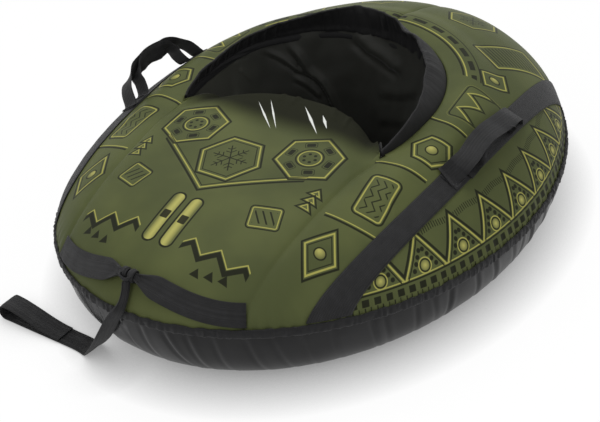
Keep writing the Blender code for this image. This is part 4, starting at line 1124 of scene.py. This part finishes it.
def knotRing(shift, halfWidth, seed):
    def columnAt(u):
        turn = 2 * pi * u
        out = Vector((0, -cos(turn), -sin(turn)))
        centre = knotCentre + Vector((shift + knot["sway"] * sin(turn + seed), 0, 0)) + out * knot["radius"]
        points = []
        for around in turns(knot["around"]):
            fold = around * knot["pleats"] + seed * 2 + sin(turn * 2) * 0.8
            pleat = 1 + knot["pleatShare"] * sin(fold)
            points.append(centre + Vector((1, 0, 0)) * cos(around) * halfWidth * pleat
                          + out * sin(around) * knot["halfThickness"] * pleat)
        return points, [(turn * knot["radius"], 0.013 * share) for share in shares(knot["around"])]

    return clothGrid(knot["columns"], columnAt, joined=True, outward=True)


barMesh = bandGrid(smoothRoute([knotCentre + Vector(point) for point in knot["bar"]], 6), Vector((0, -0.4, 1)),
                   lambda u: mix(knot["barEnd"], knot["barMiddle"], sin(pi * u) ** 0.5),
                   knot["barThickness"], 60, 24, wave=lambda u, flatX: 0.0009 * cos(flatX * 8 + 0.5))
for name, mesh, nodes in (("knotLeft", knotRing(-0.0072, 0.0054, 1.0), ["tow_hitch"]),
                          ("knotRight", knotRing(0.007, 0.0056, 2.4), []), ("knotBar", barMesh, [])):
    newPiece(name, mesh, webPaint, *nodes, rides="strap_upper")
print("webbing is sewn on")

# zip behind the hem: teeth over the plain coil

zipper = {"reach": 0.2482, "lift": 0.0003, "width": 0.0041, "thickness": 0.0022, "teeth": 215, "toothRise": 0.0003,
          "columns": 1300, "around": 12, "routeSteps": 120, "stations": (1, 9), "ofStations": 14}
zipStart, zipEnd = (pi + (pi - cornerAngle) * station / zipper["ofStations"]
                    for station in zipper["stations"])
zipRoute = []
for share in shares(zipper["routeSteps"]):
    way = ray(mix(zipStart + 0.003, zipEnd - 0.003, share))
    zipRoute.append(hub + up * seat["height"] + seatTurn @ (way * zipper["reach"] + up * zipper["lift"]))


def zipWave(u, flatX):
    return zipper["toothRise"] * sin(u * 2 * pi * zipper["teeth"]) * (1 - 0.6 * abs(flatX))


newPiece("zipTeeth", bandGrid(zipRoute, lambda u: ray(mix(zipStart, zipEnd, u)), zipper["width"], zipper["thickness"],
                              zipper["columns"], zipper["around"], wave=zipWave), plasticPaint, "zip_coil")
for node, paint in (("zip_tape_inner", trimPaint), ("zip_tape_outer", trimPaint), ("zip_slider", nickelPaint),
                    ("zip_pull", nickelPaint), ("valve_base", rubberPaint), ("valve_stem", brassPaint),
                    ("valve_core", brassPaint), ("valve_cap", plasticPaint), ("inner_tube", rubberPaint)):
    made = frame["nodes"][node]
    made.data = made.data.copy()
    made.data.materials.clear()
    made.data.materials.append(paint)

# print on the top cloth: dark outlines, pale inner lines and shaded studs over olive; painted shade and painted
# highlights are added at the end

place = printed.objectPoint()
x, y, z = printed.split(place)
ax = abs(x)
arc, fromSeam = printed.cut()
olive, oliveDeep = colour(0.088, 0.1, 0.036), colour(0.06, 0.07, 0.027)
inkColour, goldColour, studColour = colour(0.0105, 0.0115, 0.006), colour(0.36, 0.34, 0.085), colour(0.4, 0.38, 0.11)
dark, gold, stud = [], [], []


def ink(distance, half, *spans):  # a dark line of that half width, kept inside its spans
    dark.append(prod(spans, start=stroke(distance, half)))


def gilt(distance, half, *spans):
    gold.append(prod(spans, start=stroke(distance, half)))


def solid(distance, *spans):
    dark.append(prod(spans, start=inside(distance)))


def framed(distance, outline, inset, line, core=0.0, coreLine=0.0):
    ink(distance, outline)
    gilt(distance + inset, line)
    if core:
        ink(distance + core, coreLine)


def topMost(masks):
    total = masks[0]
    for mask in masks[1:]:
        total = total.most(mask)
    return total


def sixfold(dx, dy):  # folds the plane about six arms
    reach = hypotenuse(dx, dy)
    turn = dy.maths("ARCTAN2", dx).maths("WRAP", pi / 6, -pi / 6)
    return reach * turn.maths("COSINE"), abs(reach * turn.maths("SINE"))


def snowflake(dx, dy, size):
    along, off = sixfold(dx, dy)
    arm = plate(along - size / 2, off, size / 2, size * 0.032)
    flake = arm
    for root, length in ((0.42, 0.26), (0.68, 0.2)):
        branch = (abs((along - size * root) * 0.866 - off * 0.5) - size * 0.028).most(off - size * length)
        flake = flake.least(branch)
    return flake


# framed motifs, alike on both sides: shape, centre, turn, size; outline, inset, inner line and perhaps a core's depth
# and line; reach of the shade inside
motifs = {
    "badge": (hexagon, (0, -0.243), 0, (0.056,), (0.0018, 0.0055, 0.0013, 0.0115, 0.0009), 0.05),
    "hatch": (flatHexagon, (0.124, -0.182), 0, (0.055,), (0.0018, 0.0052, 0.0014), 0.035),
    "slat": (plate, (0.14, -0.335), 0.35, (0.028, 0.023, 0.007), (0.0012, 0.004, 0.0009), 0),
    "gem": (diamond, (0.248, -0.338), 0, (0.034, 0.052), (0.0016, 0.005, 0.0014, 0.0095, 0.0008), 0.03),
    "board": (plate, (0.266, -0.196), 0.12, (0.027, 0.046, 0.01), (0.0015, 0.0046, 0.0012), 0.02),
    "nut": (hexagon, (0.284, -0.052), 0, (0.034,), (0.0016, 0.005, 0.0013, 0.01, 0.0009), 0.03),
    "peaks": (plate, (0.283, 0.098), 0.1, (0.031, 0.0475, 0.008), (0.0013, -0.004, 0), 0),
    "gemRear": (diamond, (0.262, 0.205), 0, (0.03, 0.04), (0.0015, 0.0048, 0.0012), 0),
    "grill": (plate, (0.232, 0.322), -0.42, (0.04, 0.06, 0.006), (0.0016, 0.005, 0.0014), 0.03),
    "flakeRear": (hexagon, (0.105, 0.402), 0, (0.046,), (0.0016, 0.005, 0.0013), 0),
}
marks, shades = {}, []
for name, (shape, centre, turn, size, lines, shade) in motifs.items():
    markX, markY = placed(ax, y, centre, turn)
    edge = shape(markX, markY, *size)
    marks[name] = markX, markY
    framed(edge, *lines)
    if shade:
        shades.append(inside(edge) * edge.step(-shade, 0.0))
for name, size in (("badge", 0.036), ("flakeRear", 0.03)):
    solid(snowflake(*marks[name], size))
for name, radius in (("gem", 0.0095), ("nut", 0.0105), ("gemRear", 0.009)):
    ballX, ballY = marks[name]
    ball = hypotenuse(ballX, ballY) - radius
    ink(ball, 0.0012)
    shine = 1.0 - (hypotenuse(ballX + radius * 0.35, ballY - radius * 0.35) / (radius * 1.5))
    stud.append(inside(ball + 0.0008) * shine.most(0.1))

skiX, skiY = ax - 0.0185, y + 0.402
ski = plate(skiX, skiY, 0.0125, 0.052, 0.0118)
stud.append(inside(ski + 0.002) * (1.0 - (abs(skiX + 0.003) / 0.0125).maths("POWER", 1.5)).most(0.12))
ink(ski, 0.0016)
solid(plate(skiX, skiY - 0.004, 0.0075, 0.0085, 0.002))

chevron = (y + 0.335 - ax * 0.66) * 0.834
chevronSpan = inside(ax - 0.15)
ink(chevron, 0.002, chevronSpan)
gilt(chevron - 0.006, 0.0012, chevronSpan)
ink(chevron - 0.0105, 0.0008, chevronSpan)

ridge = (y + 0.428 + abs((ax - 0.01).wrap(0.052)) * 0.85) * 0.76
ridgeSpan = inside(ax - 0.176) * (1.0 - inside(ax - 0.046))
ink(ridge, 0.0042, ridgeSpan)
gilt(ridge - 0.0065, 0.001, ridgeSpan)

hatchX, hatchY = marks["hatch"]
hatchReach = hypotenuse(hatchX, hatchY)
ink(hatchReach - 0.024, 0.0013)
gilt(hatchReach - 0.02, 0.001)
hatchAlong, hatchOff = sixfold(hatchX, hatchY)
solid(plate(hatchAlong - 0.0375, hatchOff, 0.0046, 0.0078, 0.0022))
ink(plate(hatchAlong - 0.0375, hatchOff, 0.007, 0.0105, 0.003), 0.0006)
solid(hypotenuse(hatchAlong - 0.011, hatchOff) - 0.003)

slatX, slatY = marks["slat"]
ink((slatX + slatY * 0.5).wrap(0.013), 0.0016, inside(plate(slatX, slatY, 0.019, 0.013)))

for tick in range(3):
    spotX, spotY = ax - 0.098 - tick * 0.024, y + 0.47 - tick * 0.006
    solid((abs(spotX) * 0.84 + spotY * 0.54 - 0.0045).most(-spotY - 0.006))

boardX, boardY = marks["board"]
zigzag = (abs(boardY.wrap(0.024)) * 0.75 + boardX * 0.8 - 0.006).wrap(0.0115)
ink(zigzag, 0.0012, inside(plate(boardX, boardY, 0.017, 0.035, 0.004)))

for barY, lean in ((-0.118, 0.1), (0.022, -0.06), (-0.268, 0.16)):
    barX, barOff = placed(ax, y, (0.262, barY), lean)
    bar = plate(barX, barOff, 0.047, 0.0019)
    outside = 1.0 - inside(ax - 0.2125)
    solid(bar, outside)
    gilt(barOff - 0.0048, 0.0009, inside(abs(barX) - 0.047), outside)

peakX, peakY = marks["peaks"]
peaks = abs(peakY.wrap(0.046)) * 0.82 + peakX * 0.57 - 0.01
peaksSpan = inside(plate(peakX, peakY, 0.03, 0.0455, 0.006))
ink(peaks, 0.0015, peaksSpan)
gilt(peaks + 0.0052, 0.0012, peaksSpan)

grillX, grillY = marks["grill"]
ink(grillY.wrap(0.0078), 0.0013, inside(plate(grillX, grillY, 0.029, 0.048, 0.003)))

ringReach = hypotenuse(x, y - seat["y"]) - 0.266
ringArc = (y - seat["y"]).maths("ARCTAN2", x) * 0.266
behind = y.step(0.165, 0.166)
ink(ringReach, 0.0018, behind)
gilt(ringReach - 0.0055, 0.0012, behind)
block = plate((ringArc - 0.418).wrap(0.046), ringReach - 0.0185, 0.015, 0.0048, 0.001)
solid(block, behind)
ink(ringReach - 0.03, 0.0011, behind)

firX, firY = ax - 0.183, y + 0.262
for tier in range(3):
    bough = (abs(firX) * 0.8 + (firY - 0.022 + tier * 0.0165) * 0.6 - 0.003).most(-firY + 0.006 - tier * 0.0165)
    ink(bough + 0.0005, 0.0013)
    gilt(bough + 0.0042, 0.0009)

# row of nested peaks over a toothed track, outside the side straps
beyond = ax + web["strapInset"] - halfWidth + y * y * (web["strapBow"] / halfLength ** 2)
beyond = beyond.step(0.0185, 0.0195)
reach = abs(arc)
span = reach.step(0.335, 0.337) * (1.0 - reach.step(1.262, 1.264)) * beyond
spanLow = span * fromSeam.step(0.0335, 0.0345)
local = arc.wrap(0.088)
slope = abs(local) * 0.847 + (fromSeam - 0.112) * 0.531
leg = (fromSeam - 0.112) * 0.847 - abs(local) * 0.531
ink(slope, 0.0024, spanLow)
gilt(slope + 0.0052, 0.0015, spanLow)
ink(slope + 0.01, 0.0012, spanLow)
dots = hypotenuse(slope + 0.017, leg.wrap(0.0115)) - 0.004
solid(dots, span * inside(abs(leg + 0.0515) - 0.023))
core = hypotenuse(local, fromSeam - 0.048)
ink(core - 0.0098, 0.0011, span)
gilt(core - 0.0125, 0.0009, span)
stud.append(inside(core - 0.0085) * (1.0 - core / 0.0105).most(0.12) * span)
fringe = stroke(local.wrap(0.0055), 0.001) * inside(abs(fromSeam - 0.098 - abs(local) * 0.12) - 0.0055)
dark.append(fringe * (1.0 - inside(slope - 0.0035)) * span)
tooth = plate(arc.wrap(0.0215), fromSeam - 0.0205, 0.0062, 0.006, 0.001)
solid(tooth, span)
ink(fromSeam - 0.032, 0.0014, span)
gilt(fromSeam - 0.0355, 0.001, span)
ink(arc.wrap(0.0107), 0.001, inside(abs(fromSeam - 0.0095) - 0.0035) * span)


cloud = printed.grain(place, 7.0, 3.0)
ground = printed.blend(cloud.step(0.3, 0.75), oliveDeep, olive)
# painted shade: the olive darkens lower down on the cover, toward the seam
paintedLowShade = 1.0 - z.step(0.12, 0.235)
ground = printed.blend(paintedLowShade * 0.35, ground, oliveDeep)
ground = printed.blend(topMost(shades) * 0.35, ground, oliveDeep)
drawn = printed.blend(topMost(gold) * 0.85, ground, goldColour)
drawn = printed.blend(topMost(stud) * 0.95, drawn, studColour)
drawn = printed.blend(topMost(dark) * 0.96, drawn, inkColour)
# painted shade: toward the well's mouth the cover darkens to near black, where it rolls down into the seat
sideways = (ax / 0.2).maths("POWER", 2.0)
fade = (y + 0.152 - sideways * 0.014) / 0.066
fade = fade.step(0.0, 1.0) * (1.0 - ax.step(0.208, 0.2092)) * (1.0 - y.step(0.05, 0.051))
drawn = printed.blend(fade, drawn, colour(0.015, 0.0158, 0.0095))
# painted highlights: four pale streaks on the lip stand in for reflections of the lamps on the glossy cloth
glints = [(-0.069, -0.07, 0.011, -0.14, 0.0016), (-0.053, -0.054, 0.02, -0.136, 0.0015),
          (0.017, -0.046, 0.096, -0.119, 0.0022), (0.065, -0.058, 0.1, -0.096, 0.0024)]
paintedGlints = []
for startX, startY, endX, endY, half in glints:
    length = hypot(endX - startX, endY - startY)
    turn = atan2(endY - startY, endX - startX)
    alongX, offY = placed(x, y, ((startX + endX) / 2, (startY + endY) / 2), turn)
    taper = 1.0 - abs(alongX) / (length / 2)
    paintedGlints.append((1.0 - (abs(offY) / (taper.most(0.02) * half * 1.6)).step(0.4, 1.0)) * taper.step(0.0, 0.25))
printed.feed("Base Color", printed.blend(topMost(paintedGlints) * 0.85, drawn, colour(0.8, 0.82, 0.78)))
printed.feed("Roughness", fade * 0.4 + 0.5)
printed.bump(weaveOf(x, y, 0.0008), 0.25, 0.0001)
print("cloth is printed")

# stage: pale floor, even studio light

studio = {"floorShare": 0.92, "shadeReach": 0.09, "shade": 0.2, "skyLight": 0.52, "lamps": (
    ("key", (-0.75, 0.55, 2.85), (0, 0, 0.15), 2.0, 46), ("front", (0.3, -2.4, 1.9), (0, -0.2, 0.15), 1.4, 16),
    ("right", (2.3, -0.2, 1.3), (0, 0, 0.15), 1.3, 11))}
floorPaint = Paint("floor", Base_Color=colour(0.97, 0.97, 0.97), Roughness=1.0, Specular_IOR_Level=0.0)
# painted shadow: for the lens and glosses the floor glows, darkened toward the shade colour by ambient occlusion near
# the body
near = floorPaint.node("ShaderNodeAmbientOcclusion", {"samples": 8}, {"Distance": studio["shadeReach"]}, out=1)
tone = floorPaint.blend(near, colour(*[studio["shade"]] * 3), colour(1, 1, 1))
glow = floorPaint.node("ShaderNodeEmission", {}, {"Color": tone, "Strength": 1.0})
floorMix = floorPaint.node("ShaderNodeMixShader", {}, {0: floorPaint.plainShare() * studio["floorShare"], 2: glow})
floorPaint.tree.links.new(floorPaint.shader.outputs[0], floorMix.socket.node.inputs[1])
floorPaint.tree.links.new(floorMix.socket, floorPaint.tree.nodes["Material Output"].inputs["Surface"])
floorMesh = bmesh.new()
bmesh.ops.create_grid(floorMesh, x_segments=1, y_segments=1, size=14)
bmesh.ops.translate(floorMesh, verts=floorMesh.verts, vec=(0, 0, -0.0006))
newPiece("floor", floorMesh, floorPaint.material, rides=None)

world = bpy.data.worlds.new("studio")
bpy.context.scene.world = world
sky = Paint(world, "Background", Color=colour(1, 1, 1))
sky.feed("Strength", sky.plainShare() * (1 - studio["skyLight"]) + studio["skyLight"])

for name, location, target, size, power in studio["lamps"]:
    lamp = bpy.data.lights.new(name, "AREA")
    lamp.size = size
    lamp.energy = power
    light = bpy.data.objects.new(name, lamp)
    bpy.context.scene.collection.objects.link(light)
    light.location = location
    light.rotation_euler = (Vector(location) - Vector(target)).to_track_quat("Z", "Y").to_euler()

bpy.context.scene.view_settings.view_transform = "Standard"
